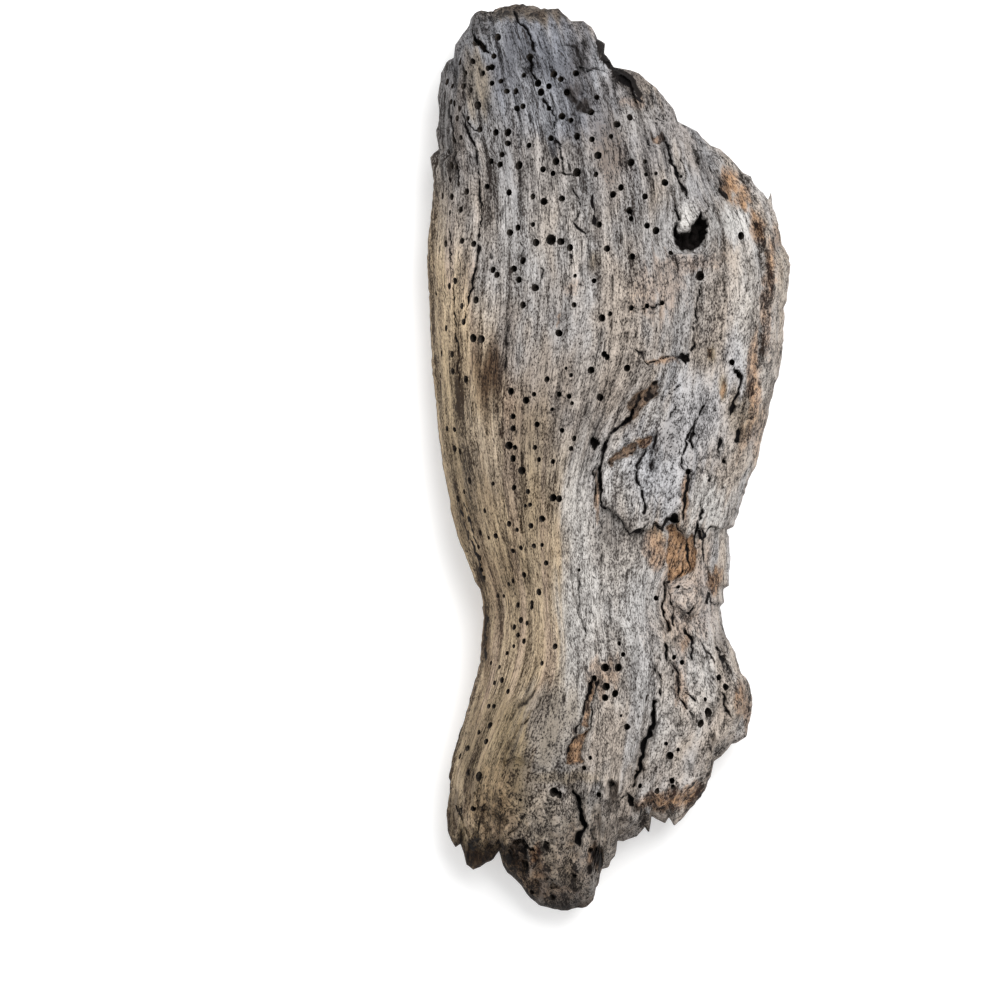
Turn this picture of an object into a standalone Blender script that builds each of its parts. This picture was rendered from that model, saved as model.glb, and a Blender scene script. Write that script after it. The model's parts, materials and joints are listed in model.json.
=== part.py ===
"""A weathered piece of driftwood, one solid, lying on its back.

The broad end is towards +Y, the waist and the broken root end towards -Y,
and the weathered front faces +Z.  Outlines and features are given as marks,
(across, down), on a sheet whose step is STEP metres.
"""
import bpy
import bmesh
import numpy as np
from mathutils import Matrix, Vector

# Driving dimensions, in metres unless said otherwise.
STEP = 0.00029              # one step of the outline sheet
SHEET_MIDDLE = (609.0, 457.0)
REST_DEPTH = 0.0160         # from the edge level down to the flat spot
BORE_SIDES = 8
BORE_DEPTH = 0.0052
COLUMNS = 150               # grid cells across the fibres
ROWS = 330                  # grid cells along the fibres
FACES_KEPT = 7000           # triangles kept before the bores are cut

# Left edge, right edge: (down, across) marks.
LEFT_EDGE = [
    (0, 442), (71, 442), (82, 441), (97, 438), (109, 440), (120, 440),
    (129, 437), (138, 438), (149, 439), (153, 434), (157, 431), (180, 434),
    (200, 433), (218, 431), (234, 429), (251, 428), (272, 428), (295, 430),
    (333, 431), (371, 433), (385, 435), (431, 439), (468, 444), (493, 449),
    (518, 453), (541, 460), (559, 468), (581, 476), (588, 481), (604, 484),
    (607, 483), (617, 485), (629, 483), (661, 481), (680, 476), (696, 471),
    (719, 465), (739, 458), (762, 452), (777, 449), (781, 451), (799, 449),
    (809, 447), (830, 448), (850, 449), (920, 450),
]
RIGHT_EDGE = [
    (0, 604), (54, 604), (60, 609), (67, 613), (70, 630), (73, 638),
    (79, 645), (87, 655), (100, 666), (108, 673), (121, 677), (126, 687),
    (131, 697), (138, 703), (145, 710), (149, 720), (157, 729), (172, 742),
    (176, 751), (183, 754), (195, 765), (202, 770), (212, 775), (223, 778),
    (244, 782), (257, 789), (269, 790), (286, 788), (299, 787), (305, 784),
    (320, 784), (339, 783), (359, 781), (376, 778), (383, 775), (401, 770),
    (415, 768), (439, 761), (452, 759), (465, 756), (477, 749), (498, 742),
    (516, 737), (526, 733), (529, 726), (536, 728), (559, 730), (585, 728),
    (588, 723), (602, 723), (606, 719), (622, 722), (636, 726), (652, 735),
    (676, 742), (682, 749), (697, 752), (715, 751), (725, 748), (738, 746),
    (920, 746),
]
# Broken ends: (across, down) marks from left to right.
TOP_END = [
    (442, 71), (447, 61), (454, 56), (456, 43), (463, 33), (469, 24),
    (471, 17), (475, 12), (481, 9), (493, 11), (499, 6), (509, 5),
    (520, 3), (530, 4), (541, 7), (558, 8), (564, 14), (571, 20),
    (583, 20), (591, 26), (597, 38), (604, 42),
]
ROOT_END = [
    (448, 830), (452, 841), (456, 848), (461, 844), (465, 854), (467, 865),
    (474, 870), (481, 867), (488, 862), (494, 860), (500, 852), (503, 865),
    (508, 873), (516, 879), (522, 886), (527, 895), (539, 905), (555, 910),
    (571, 910), (587, 907), (594, 901), (596, 889), (599, 885), (600, 877),
    (602, 870), (609, 868), (611, 861), (616, 855), (618, 840), (624, 841),
    (637, 837), (645, 827), (649, 834), (652, 817), (656, 820), (665, 824),
    (669, 817), (674, 826), (680, 822), (689, 811), (700, 797), (706, 790),
    (707, 782), (711, 775), (713, 762), (721, 757), (731, 745), (746, 738),
]

# Lines that the fibres follow: across marks of nine fibres, a row every 60
# steps down from 0, and the place of each fibre counted across the grain.
FIBRES = [
    [440, 450, 483, 517, 560, 600, 634, 660, 684],
    [443, 458, 497, 535, 576, 616, 655, 678, 705],
    [437, 464, 509, 552, 592, 632, 673, 697, 728],
    [432, 479, 516, 561, 602, 645, 688, 718, 755],
    [428, 479, 519, 564, 608, 652, 699, 738, 779],
    [430, 470, 520, 565, 610, 655, 700, 745, 785],
    [433, 468, 514, 558, 603, 650, 694, 735, 779],
    [438, 468, 510, 550, 588, 622, 692, 726, 764],
    [448, 476, 512, 545, 572, 600, 686, 716, 746],
    [463, 489, 519, 545, 563, 601, 672, 702, 728],
    [485, 504, 526, 546, 566, 602, 660, 690, 721],
    [480, 500, 523, 548, 572, 607, 662, 697, 738],
    [462, 482, 500, 526, 572, 610, 654, 703, 750],
    [447, 463, 478, 506, 565, 606, 642, 690, 745],
    [444, 458, 472, 504, 560, 600, 634, 680, 730],
    [443, 456, 472, 504, 558, 594, 630, 676, 726],
]
FIBRE_PLACES = [0, 40, 80, 120, 155, 195, 250, 290, 330]
# The outline without its small steps, for the levels below.
BROAD_LEFT = [(0, 448), (80, 441), (160, 434), (260, 428), (370, 433),
              (430, 439), (500, 452), (560, 471), (600, 484), (640, 483),
              (700, 470), (760, 453), (830, 447), (920, 448)]
BROAD_RIGHT = [(0, 590), (45, 608), (90, 655), (130, 694), (170, 738),
               (220, 776), (270, 789), (330, 784), (400, 771), (460, 757),
               (520, 736), (560, 729), (600, 721), (640, 728), (690, 750),
               (720, 751), (920, 746)]

# Level of the front above the edge level, in millimetres.  Rows run down
# the sheet every 100 steps from mark 5, columns run from left to right.
FRONT_LEVEL = [
    [14, 16, 18, 18, 17, 14, 12],
    [18, 20, 21, 22, 20, 16, 12],
    [19, 23, 25, 25, 23, 19, 13],
    [20, 24, 26, 27, 25, 20, 13],
    [20, 24, 26, 27, 26, 21, 14],
    [19, 24, 26, 28, 26, 22, 16],
    [18, 24, 28, 29, 27, 22, 16],
    [18, 24, 28, 29, 25, 21, 14],
    [16, 20, 24, 25, 22, 17, 11],
    [10, 12, 13, 16, 14, 11, 8],
]
# Depth of the underside below the edge level, in millimetres.
BACK_LEVEL = [
    [7, 10, 12, 11, 10, 8, 6],
    [9, 13, 15, 14, 13, 11, 7],
    [9, 14, 17, 17, 15, 12, 8],
    [9, 15, 19, 20, 17, 12, 8],
    [9, 15, 20, 21, 18, 12, 8],
    [9, 15, 20, 21, 18, 13, 8],
    [9, 14, 18, 19, 17, 12, 8],
    [8, 13, 16, 17, 15, 11, 7],
    [8, 12, 13, 14, 13, 9, 6],
    [5, 7, 9, 10, 9, 6, 5],
]
# Width of the rounded left flank in millimetres at marks down the sheet,
# and how sharply the flank meets the front (2 is a quarter ellipse).
FLANK = [(5, 11), (150, 13), (300, 16), (420, 19), (520, 23), (620, 27),
         (700, 24), (800, 14), (905, 8)]
FLANK_POWER = [(5, 2.0), (300, 1.9), (480, 1.4), (620, 1.15), (720, 1.3),
               (820, 2.0)]
RIGHT_ROUND = [(5, 7), (150, 5), (250, 5), (450, 6), (600, 9), (740, 7)]
END_ROUND = 8.0
UNDER_ROUND = 15.0
UNDER_END_ROUND = 19.0
# Level of the outermost edge line in millimetres at marks down the sheet.
EDGE_LEVEL = [(5, 3.5), (110, 1.0), (230, -2.0), (330, -3.0), (450, -1.0),
              (560, 2.0), (650, 2.5), (760, 0.0), (905, -3.0)]
# Uneven layers of the side walls and broken ends, millimetres.
SIDE_LAYERS = 1.8
END_LAYERS = 6.5

# Grooves and cracks: marks along the line, half width in steps, depth in
# millimetres.
GROOVES = [
    ([(512, 10), (518, 21), (524, 26), (529, 38), (535, 54)], 2.2, 3.0),
    ([(530, 56), (530, 62), (532, 71), (536, 82)], 2.2, 2.4),
    ([(541, 97), (545, 103), (549, 110), (554, 119), (556, 128), (554, 137)],
     1.9, 2.0),
    ([(473, 21), (472, 32), (475, 42), (481, 46), (485, 54), (488, 55)],
     2.4, 3.5),
    ([(474, 40), (480, 44)], 2.2, 3.0),
    ([(604, 57), (611, 66), (618, 74), (626, 83), (633, 94), (641, 103)],
     4.9, 4.5),
    ([(448, 100), (453, 130), (457, 165), (458, 190)], 2.0, 1.8),
    ([(462, 112), (469, 135), (476, 152), (480, 190), (482, 205), (479, 245)],
     1.8, 1.8),
    ([(479, 245), (476, 270), (468, 302), (464, 322)], 2.3, 2.2),
    ([(630, 209), (631, 224)], 2.3, 2.0),
    ([(664, 133), (669, 150), (672, 164), (677, 179), (686, 191), (687, 200)],
     2.4, 2.2),
    ([(675, 205), (674, 210), (679, 217), (675, 226), (676, 238)], 2.3, 3.0),
    ([(703, 281), (699, 298), (695, 317), (693, 335), (692, 353)], 2.0, 2.2),
    ([(647, 364), (656, 361), (665, 357), (678, 356), (691, 353)], 1.8, 1.8),
    ([(658, 432), (653, 446), (652, 457), (650, 471)], 1.9, 2.0),
    ([(646, 449), (637, 463), (637, 478), (643, 492), (644, 516)], 2.2, 2.4),
    ([(640, 400), (625, 420), (610, 434), (603, 448), (600, 465), (602, 506)],
     2.6, 4.0),
    ([(595, 464), (594, 480), (596, 506)], 1.8, 1.8),
    ([(706, 404), (697, 415), (692, 430), (692, 450)], 2.3, 2.8),
    ([(693, 424), (687, 438), (686, 447), (681, 456), (681, 467), (688, 471)],
     2.0, 2.6),
    ([(688, 470), (688, 480), (684, 500), (682, 519)], 2.0, 1.8),
    ([(735, 366), (741, 379), (738, 393), (733, 406), (731, 415)], 2.8, 2.8),
    ([(738, 428), (739, 437), (737, 443)], 3.0, 2.6),
    ([(720, 438), (719, 452), (723, 464)], 3.2, 2.8),
    ([(700, 500), (701, 521), (704, 537)], 2.2, 2.0),
    ([(664, 582), (664, 596), (663, 606), (665, 616), (671, 629)], 2.3, 3.0),
    ([(664, 640), (667, 649), (666, 653), (669, 661)], 3.0, 2.8),
    ([(655, 668), (661, 673), (661, 697)], 1.8, 2.0),
    ([(661, 697), (655, 700), (654, 722), (651, 733), (643, 742), (641, 762),
      (634, 784)], 3.7, 6.0),
    ([(709, 592), (708, 603)], 3.0, 2.4),
    ([(679, 605), (684, 612), (691, 611), (696, 605)], 2.5, 1.8),
    ([(684, 627), (689, 634), (692, 645), (692, 660)], 3.0, 2.4),
    ([(672, 662), (678, 673), (678, 693), (688, 709), (694, 717)], 2.0, 2.2),
    ([(716, 645), (720, 652), (725, 663), (728, 671)], 3.0, 2.6),
    ([(722, 690), (725, 705), (732, 716)], 2.0, 1.8),
    ([(594, 676), (589, 690), (583, 704), (579, 722)], 2.5, 2.4),
    ([(598, 678), (592, 700), (590, 728)], 1.9, 2.0),
    ([(579, 722), (574, 734), (566, 752)], 2.0, 2.2),
    ([(588, 730), (583, 748), (581, 762)], 1.7, 1.8),
    ([(573, 785), (579, 799), (581, 813), (585, 824), (579, 836), (581, 845)],
     4.4, 6.5),
    ([(526, 810), (518, 824), (509, 834)], 2.0, 1.8),
]
# Broken-out hollows, the knot pit first: outline marks and depth in
# millimetres.
HOLLOWS = [
    ([(675, 224), (680, 236), (688, 232), (695, 224), (700, 213), (707, 221),
      (707, 236), (700, 246), (690, 252), (681, 250), (676, 240)], 9.0),
    ([(626, 402), (639, 392), (647, 388), (650, 381), (657, 382), (658, 388),
      (657, 396), (650, 402), (643, 407), (636, 416), (627, 423), (619, 426),
      (629, 412)], 2.8),
    ([(608, 464), (612, 455), (619, 450), (626, 444), (636, 442), (636, 447),
      (629, 456), (618, 459), (613, 462), (611, 469)], 2.8),
    ([(639, 440), (653, 435), (651, 444), (643, 448), (638, 445)], 2.0),
    ([(591, 438), (599, 439), (600, 444), (596, 447), (592, 451), (590, 443)],
     4.0),
    ([(680, 356), (689, 353), (690, 359), (685, 363)], 3.0),
    ([(667, 527), (671, 522), (677, 530), (688, 538), (695, 532), (696, 548),
      (693, 570), (686, 574), (676, 581), (667, 582), (667, 562), (668, 546)],
     1.6),
    ([(575, 732), (588, 729), (583, 746), (581, 761), (565, 763), (567, 750)],
     2.4),
    ([(591, 680), (597, 680), (590, 704), (587, 726), (580, 724), (584, 702)],
     1.8),
    ([(607, 778), (613, 775), (619, 790), (614, 804), (608, 792)], 2.6),
    ([(628, 792), (633, 795), (633, 804), (628, 803)], 2.6),
    ([(589, 846), (603, 846), (606, 857), (600, 870), (593, 864)], 4.5),
    ([(504, 852), (511, 842), (518, 836), (524, 838), (530, 846), (526, 856),
      (528, 868), (520, 876), (512, 872), (506, 864)], 3.2),
    ([(700, 702), (707, 701), (713, 708), (713, 718), (706, 720), (700, 714)],
     1.6),
    ([(735, 690), (742, 689), (744, 700), (737, 699)], 1.6),
    ([(665, 618), (671, 620), (672, 629), (668, 632)], 2.4),
    ([(650, 132), (654, 138), (663, 131), (667, 140), (660, 146), (652, 142)],
     1.6),
    ([(603, 52), (608, 58), (613, 66), (620, 68), (629, 75), (635, 82),
      (640, 91), (644, 99), (640, 100), (631, 90), (622, 82), (614, 75),
      (607, 67), (602, 59)], 4.0),
    ([(671, 514), (677, 515), (678, 520), (672, 521), (668, 518)], 3.0),
    ([(718, 178), (723, 190), (730, 198), (726, 199), (719, 191)], 2.4),
]
# Shallow pits: centre, half sizes in steps, depth in millimetres.
PITS = [(552, 895, 6, 4, 2.4), (571, 875, 5, 4, 2.0), (587, 899, 4, 4, 2.0),
        (546, 845, 3, 6, 2.0), (526, 866, 5, 7, 2.4), (516, 872, 4, 8, 2.0),
        (508, 862, 3, 8, 2.0), (534, 882, 8, 4, 1.6), (560, 866, 5, 3, 1.4),
        (578, 886, 5, 4, 1.5), (564, 905, 10, 3, 1.4), (524, 892, 5, 4, 1.4),
        (542, 902, 7, 3, 1.4), (476, 866, 4, 6, 1.6), (467, 858, 2.5, 9, 1.6),
        (486, 856, 3, 8, 1.6), (459, 845, 3, 6, 1.4), (590, 868, 4, 6, 1.6),
        (636, 806, 6, 5, 1.6), (622, 818, 6, 4, 1.4), (664, 808, 4, 5, 1.4),
        (686, 806, 4, 4, 1.4), (607, 806, 4, 8, 1.4), (599, 822, 3, 8, 1.4),
        (740, 716, 4, 8, 1.4), (714, 738, 5, 4, 1.4)]
# Standing plate with a ragged lower edge.
PLATE = [(655, 380), (650, 402), (636, 417), (620, 427), (609, 436),
         (604, 449), (602, 471), (603, 505), (609, 506), (616, 513),
         (622, 518), (624, 527), (630, 532), (639, 529), (650, 529),
         (653, 521), (657, 521), (662, 529), (665, 521), (668, 516),
         (675, 517), (677, 523), (684, 532), (689, 536), (696, 531),
         (698, 520), (702, 536), (711, 526), (722, 528), (760, 532),
         (790, 470), (790, 380)]
PLATE_RISE = 3.6
# Ledges lower than the front: outline marks and drop in millimetres.
LEDGES = [
    ([(604, 30), (608, 52), (616, 66), (622, 78), (633, 93), (641, 104),
      (652, 118), (668, 124), (700, 120), (720, 60), (640, 20)], 5.0),
    ([(503, 850), (511, 841), (518, 835), (525, 838), (531, 846),
      (537, 852), (542, 862), (545, 871), (548, 880), (556, 888),
      (568, 897), (580, 907), (575, 930), (480, 930), (490, 858)], 5.0),
    ([(440, 838), (455, 846), (464, 838), (474, 846), (482, 842),
      (490, 852), (499, 848), (500, 930), (440, 930)], 5.0),
    ([(596, 776), (604, 789), (607, 778), (613, 776), (621, 796),
      (630, 792), (634, 800), (650, 815), (660, 850), (600, 900),
      (598, 860), (590, 830), (586, 800)], 2.2),
    ([(640, 802), (652, 796), (660, 806), (672, 796), (684, 792),
      (694, 780), (706, 776), (714, 760), (730, 790), (680, 850),
      (640, 850)], 3.4),
    ([(706, 566), (712, 580), (726, 570), (745, 566), (745, 604),
      (712, 604)], 2.4),
    ([(706, 155), (715, 176), (724, 195), (734, 202), (747, 208),
      (752, 222), (756, 232), (764, 238), (766, 256), (765, 280),
      (762, 302), (758, 332), (752, 370), (748, 402), (800, 402),
      (800, 150)], 2.0),
]
# Low knobs: centre, half sizes in steps, rise in millimetres.
KNOBS = [
    (687, 597, 20, 17, 3.0), (684, 218, 11, 15, 1.6), (688, 258, 22, 6, 1.8),
    (703, 640, 14, 22, 1.8), (736, 705, 13, 24, 2.2), (690, 715, 18, 26, 1.8),
    (775, 285, 6, 14, 1.6), (776, 320, 6, 12, 1.4), (770, 352, 6, 13, 1.5),
    (758, 405, 9, 14, 1.6), (745, 455, 9, 18, 1.8), (765, 228, 6, 12, 1.5),
    (534, 736, 30, 30, 1.2), (490, 800, 22, 26, 1.2), (620, 745, 20, 24, 1.0),
    (562, 868, 18, 22, 1.6), (470, 50, 12, 18, 1.5), (496, 100, 14, 24, 1.2),
]
# Knots that the fibres bend round: centre and reach in steps.
KNOTS = [(688, 232, 26), (687, 597, 26)]
# Bores left by insects: (across, down, radius) marks.
BORES = [
    (461, 62, 3), (473, 62, 3), (494, 57, 3), (466, 74, 3), (478, 44, 4),
    (490, 69, 4), (464, 87, 3), (471, 91, 3), (507, 92, 3), (516, 92, 4),
    (524, 76, 3.5), (498, 38, 4), (478, 106, 4.5), (452, 86, 3),
    (496, 133, 4), (508, 133, 5), (508, 145, 3.5), (500, 165, 3.5),
    (519, 167, 5.5), (541, 93, 5), (554, 76, 4), (567, 93, 4),
    (597, 98, 4), (577, 137, 4.5), (592, 140, 3.5), (598, 156, 4.5),
    (556, 163, 5), (543, 170, 4), (577, 173, 5.5), (596, 175, 3.5),
    (452, 166, 3.5), (509, 193, 4), (533, 197, 4), (631, 163, 5),
    (665, 183, 4.5), (621, 188, 4), (613, 195, 4), (645, 197, 4),
    (544, 202, 4.5), (562, 199, 4), (510, 234, 4), (518, 228, 4),
    (536, 243, 4.5), (551, 240, 6.5), (561, 242, 4), (570, 248, 4.5),
    (599, 225, 4), (607, 249, 4), (523, 261, 4.5), (519, 280, 4),
    (493, 270, 4), (535, 288, 4.5), (523, 305, 4.5), (476, 300, 4),
    (473, 338, 4.5), (483, 340, 4.5), (559, 333, 4), (602, 318, 4.5),
    (606, 356, 4), (591, 370, 4.5), (631, 210, 5), (656, 231, 4.5),
    (700, 276, 6), (741, 236, 5), (627, 368, 4.5), (732, 362, 4),
    (511, 391, 4.5), (526, 400, 4.5), (571, 400, 4), (600, 397, 4.5),
    (513, 416, 4), (513, 428, 4), (510, 446, 5), (515, 458, 4.5),
    (522, 470, 5), (460, 450, 4), (555, 497, 5.5), (514, 487, 4),
    (542, 518, 4), (509, 523, 4), (539, 591, 4.5), (533, 604, 4),
    (518, 604, 3.5), (521, 621, 4), (514, 627, 3.5), (524, 640, 3.5),
    (502, 679, 4.5), (508, 690, 4), (495, 705, 4), (479, 775, 5.5),
    (555, 791, 7), (605, 666, 5), (618, 667, 5), (606, 686, 5),
    (613, 694, 5), (672, 781, 5), (670, 754, 5), (708, 711, 6),
    (534, 544, 4.5), (546, 562, 4), (524, 574, 4), (546, 846, 4),
]
# Bores in the underside: (across, down, radius) marks.
UNDER_BORES = [
    (520, 150, 4.5), (610, 210, 4.5), (500, 260, 4), (660, 300, 5),
    (480, 380, 4), (690, 420, 4.5), (520, 560, 4), (660, 600, 4.5),
    (540, 720, 4.5), (640, 760, 4.5), (470, 300, 4.5), (486, 180, 4),
    (645, 190, 4), (700, 250, 4.5), (715, 340, 4), (670, 480, 4.5),
    (500, 470, 4.5), (600, 640, 4), (500, 760, 4), (690, 700, 4.5),
]


def clear_scene():
    """Remove every object, mesh and material that is already present."""
    for item in list(bpy.data.objects):
        bpy.data.objects.remove(item, do_unlink=True)
    for item in list(bpy.data.meshes):
        bpy.data.meshes.remove(item)
    for item in list(bpy.data.materials):
        bpy.data.materials.remove(item)


def along(marks, at):
    """Straight-line reading of (position, value) marks."""
    table = np.array(marks, float)
    return np.interp(at, table[:, 0], table[:, 1])


def smooth_step(value):
    """Soft ramp 3v^2 - 2v^3 from 0 to 1."""
    held = np.clip(value, 0.0, 1.0)
    return held * held * (3.0 - 2.0 * held)


def turns(part):
    """Catmull-Rom weights of four neighbours at a part of a step."""
    return (
        -0.5 * part + part ** 2 - 0.5 * part ** 3,
        1.0 - 2.5 * part ** 2 + 1.5 * part ** 3,
        0.5 * part + 2.0 * part ** 2 - 1.5 * part ** 3,
        -0.5 * part ** 2 + 0.5 * part ** 3,
    )


def curve(values, place):
    """Catmull-Rom curve through a row of numbers or of whole curves."""
    last = len(values) - 1
    held = np.clip(place, 0.0, last - 1e-6)
    start = np.floor(held).astype(int)
    total = np.zeros(held.shape)
    for i, weight in enumerate(turns(held - start)):
        at = np.clip(start + i - 1, 0, last)
        total = total + weight * np.choose(at, values)
    return total


def broad_place(across, down):
    """Part of the width, 0 to 1, between the broad edges."""
    left = along(BROAD_LEFT, down)
    right = along(BROAD_RIGHT, down)
    return np.clip((across - left) / (right - left), 0.0, 1.0)


def level_table(table, across, down):
    """Catmull-Rom surface through a table of levels."""
    rows = [row for row in np.array(table, float).T]
    row = (down - 5.0) / 100.0
    columns = [curve(list(values), row) for values in rows]
    return curve(columns, broad_place(across, down) * (len(columns) - 1))


def fibre_place(across, down):
    """Place across the grain, in steps, of any point of the sheet."""
    lines = [curve(list(line), down / 60.0)
             for line in np.array(FIBRES, float).T]
    place = np.zeros(across.shape)
    for k in range(len(lines) - 1):
        width = lines[k + 1] - lines[k]
        part = (across - lines[k]) / width
        if k > 0:
            part = np.maximum(part, 0.0)
        if k < len(lines) - 2:
            part = np.minimum(part, 1.0)
        place = place + part * (FIBRE_PLACES[k + 1] - FIBRE_PLACES[k])
    for x, y, reach in KNOTS:
        far = np.hypot(across - x, down - y) / reach
        place = place - (across - x) * np.exp(-far * far)
    return place


def lattice(i, j, seed):
    """Fixed pseudo-random value between 0 and 1 at a lattice point."""
    wave = np.sin(i * 127.1 + j * 311.7 + seed * 74.7) * 43758.5453
    return wave - np.floor(wave)


def noise(x, y, seed):
    """Value noise between -1 and 1, smooth between lattice points."""
    i = np.floor(x)
    j = np.floor(y)
    a = smooth_step(x - i)
    b = smooth_step(y - j)
    low = lattice(i, j, seed) * (1 - a) + lattice(i + 1, j, seed) * a
    high = lattice(i, j + 1, seed) * (1 - a) + lattice(i + 1, j + 1, seed) * a
    return 2.0 * (low * (1 - b) + high * b) - 1.0


def line_reach(across, down, marks):
    """Distance to a line through the marks, and the place along it, 0 to 1.

    On each stretch from a to b the nearest place is a + t (b - a) with
    t = (p - a) . (b - a) / |b - a|^2, held between 0 and 1.
    """
    corners = np.array(marks, float)
    lengths = np.hypot(*np.diff(corners, axis=0).T)
    starts = np.concatenate([[0.0], np.cumsum(lengths)])
    nearest = np.full(across.shape, 1e9)
    place = np.zeros(across.shape)
    for k, length in enumerate(lengths):
        ax, ay = corners[k]
        dx, dy = (corners[k + 1] - corners[k]) / length
        part = np.clip((across - ax) * dx + (down - ay) * dy, 0.0, length)
        gap = np.hypot(across - ax - part * dx, down - ay - part * dy)
        place = np.where(gap < nearest, starts[k] + part, place)
        nearest = np.minimum(nearest, gap)
    return nearest, place / starts[-1]


def line_distance(across, down, marks):
    """Distance in steps to a line through the marks."""
    return line_reach(across, down, marks)[0]


def inside_depth(across, down, marks):
    """Distance in steps to a closed outline, positive inside it."""
    ring = list(marks) + [marks[0]]
    edge = line_distance(across, down, ring)
    inside = np.zeros(across.shape, bool)
    for (ax, ay), (bx, by) in zip(ring[:-1], ring[1:]):
        if ay == by:
            continue
        crosses = (ay > down) != (by > down)
        at = ax + (down - ay) * (bx - ax) / (by - ay)
        inside ^= crosses & (across < at)
    return np.where(inside, edge, -edge)


def spread(count, crowding):
    """Positions from 0 to 1, crowded towards both ends."""
    even = np.linspace(0.0, 1.0, count + 1)
    crowded = 0.5 - 0.5 * np.cos(np.pi * even)
    return (1.0 - crowding) * even + crowding * crowded


def end_profile(marks, psi):
    """Down mark of a broken end for each fibre position."""
    table = np.array(marks, float)
    left = along(LEFT_EDGE, table[:, 1])
    right = along(RIGHT_EDGE, table[:, 1])
    at = (table[:, 0] - left) / (right - left)
    return np.interp(psi, np.maximum.accumulate(at), table[:, 1])


def wandering(across, down):
    """Marks moved by up to three steps so that drawn edges look torn."""
    moved_x = across + 1.7 * noise(across / 8.0, down / 8.0, 11)
    moved_x = moved_x + 1.2 * noise(across / 3.1, down / 3.1, 13)
    moved_y = down + 1.7 * noise(across / 8.0, down / 8.0, 12)
    moved_y = moved_y + 1.2 * noise(across / 3.1, down / 3.1, 14)
    return moved_x, moved_y


def fibre_ridges(place, down):
    """Long ridges that follow the fibres, in millimetres."""
    ridge = 0.60 * noise(place / 34.0, down / 260.0, 3)
    ridge = ridge + 0.42 * noise(place / 15.0, down / 170.0, 4)
    ridge = ridge + 0.26 * noise(place / 7.5, down / 90.0, 5)
    return ridge


def rough_cover(across, down):
    """1 where the wood is flaky: right side, lower right and root end."""
    right = smooth_step((across - 640) / 40.0) * smooth_step((down - 350) / 60)
    rim = smooth_step((across - along(RIGHT_EDGE, down) + 34.0) / 14.0)
    root = smooth_step((down - 765) / 40.0)
    top = smooth_step((30.0 - down) / 14.0)
    return np.maximum(np.maximum(right, root), np.maximum(rim, top))


def flakes(across, down, place):
    """Height in steps of torn layers.

    A slow noise is cut into treads: whole part plus a steep ramp over the
    last fifth of each step.
    """
    slow = noise(place / 24.0, down / 52.0, 41)
    slow = slow + 0.50 * noise(across / 11.0, down / 15.0, 42)
    slow = slow + 0.26 * noise(across / 4.2, down / 5.4, 43)
    slow = 2.0 * (slow + 1.8)
    base = np.floor(slow)
    part = slow - base
    return base + 0.2 * part + 0.8 * smooth_step((part - 0.82) / 0.18) - 3.6


def cuts(across, down):
    """Depth in millimetres of the grooves, hollows and pits."""
    depth_cut = np.zeros(across.shape)
    swell = 0.85 + 0.75 * noise(across / 6.0, down / 6.0, 61)
    for marks, half, depth in GROOVES:
        gap, part = line_reach(across, down, marks)
        taper = smooth_step(7.0 * np.minimum(part, 1.0 - part) + 0.35)
        near = gap / (half * swell * taper + 0.25)
        held = np.minimum(1.0, 0.35 + 0.65 * swell) * taper
        depth_cut = depth_cut + depth * held * (1.0 - smooth_step(near * 0.7))
    crumbs = noise(across / 3.4, down / 4.4, 62)
    for marks, depth in HOLLOWS:
        inside = inside_depth(across, down, marks)
        floor = depth * (1.0 + 0.3 * crumbs)
        depth_cut = depth_cut + floor * smooth_step((inside + 0.8) / 2.2)
    for x, y, half_x, half_y, depth in PITS:
        reach = np.hypot((across - x) / half_x, (down - y) / half_y)
        depth_cut = depth_cut + depth * (1.0 - smooth_step((reach - 0.45) / 0.9))
    return depth_cut


def front_relief(across, down):
    """Cracks, ledges, plate, knobs and pit of the front, millimetres."""
    moved_x, moved_y = wandering(across, down)
    place = fibre_place(across, down)
    rough = rough_cover(across, down)
    relief = fibre_ridges(place, down)
    relief = relief + rough * 0.5 * noise(across / 9.0, down / 12.0, 6)
    relief = relief + rough * 0.30 * noise(across / 3.6, down / 4.4, 7)
    root = smooth_step((down - 770.0) / 40.0)
    relief = relief + root * 0.8 * noise(across / 6.0, down / 7.0, 17)
    layers = 0.62 + 0.35 * root
    relief = relief + rough * layers * flakes(moved_x, moved_y, place)
    plate = inside_depth(moved_x, moved_y, PLATE)
    rise = PLATE_RISE * smooth_step((down - 385.0) / 110.0)
    relief = relief + rise * smooth_step((plate + 0.7) / 1.4)
    for marks, drop in LEDGES:
        depth = inside_depth(moved_x, moved_y, marks)
        relief = relief - drop * smooth_step((depth + 1.0) / 2.0)
    for x, y, half_x, half_y, height in KNOBS:
        reach = ((across - x) / half_x) ** 2 + ((down - y) / half_y) ** 2
        relief = relief + height * smooth_step(1.25 - reach)
    return relief - cuts(moved_x, moved_y)


def back_relief(across, down):
    """Ridges, hollows and splits of the underside, millimetres."""
    relief = 1.3 * fibre_ridges(fibre_place(across, down) + 500.0, down)
    relief = relief + 0.9 * noise(across / 60.0, down / 90.0, 8)
    split = line_distance(across, down, [(560, 60), (552, 160), (566, 300)])
    relief = relief + 3.0 * (1.0 - smooth_step(split / 4.0))
    split = line_distance(across, down, [(640, 560), (630, 660), (640, 800)])
    relief = relief + 3.0 * (1.0 - smooth_step(split / 5.0))
    return relief


def quarter(distance, reach, power):
    """Rounding factor that climbs from 0 at an edge to 1 at its reach."""
    part = np.clip(distance / reach, 0.0, 1.0)
    return np.sqrt(np.clip(1.0 - (1.0 - part) ** power, 0.0, 1.0))


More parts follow.
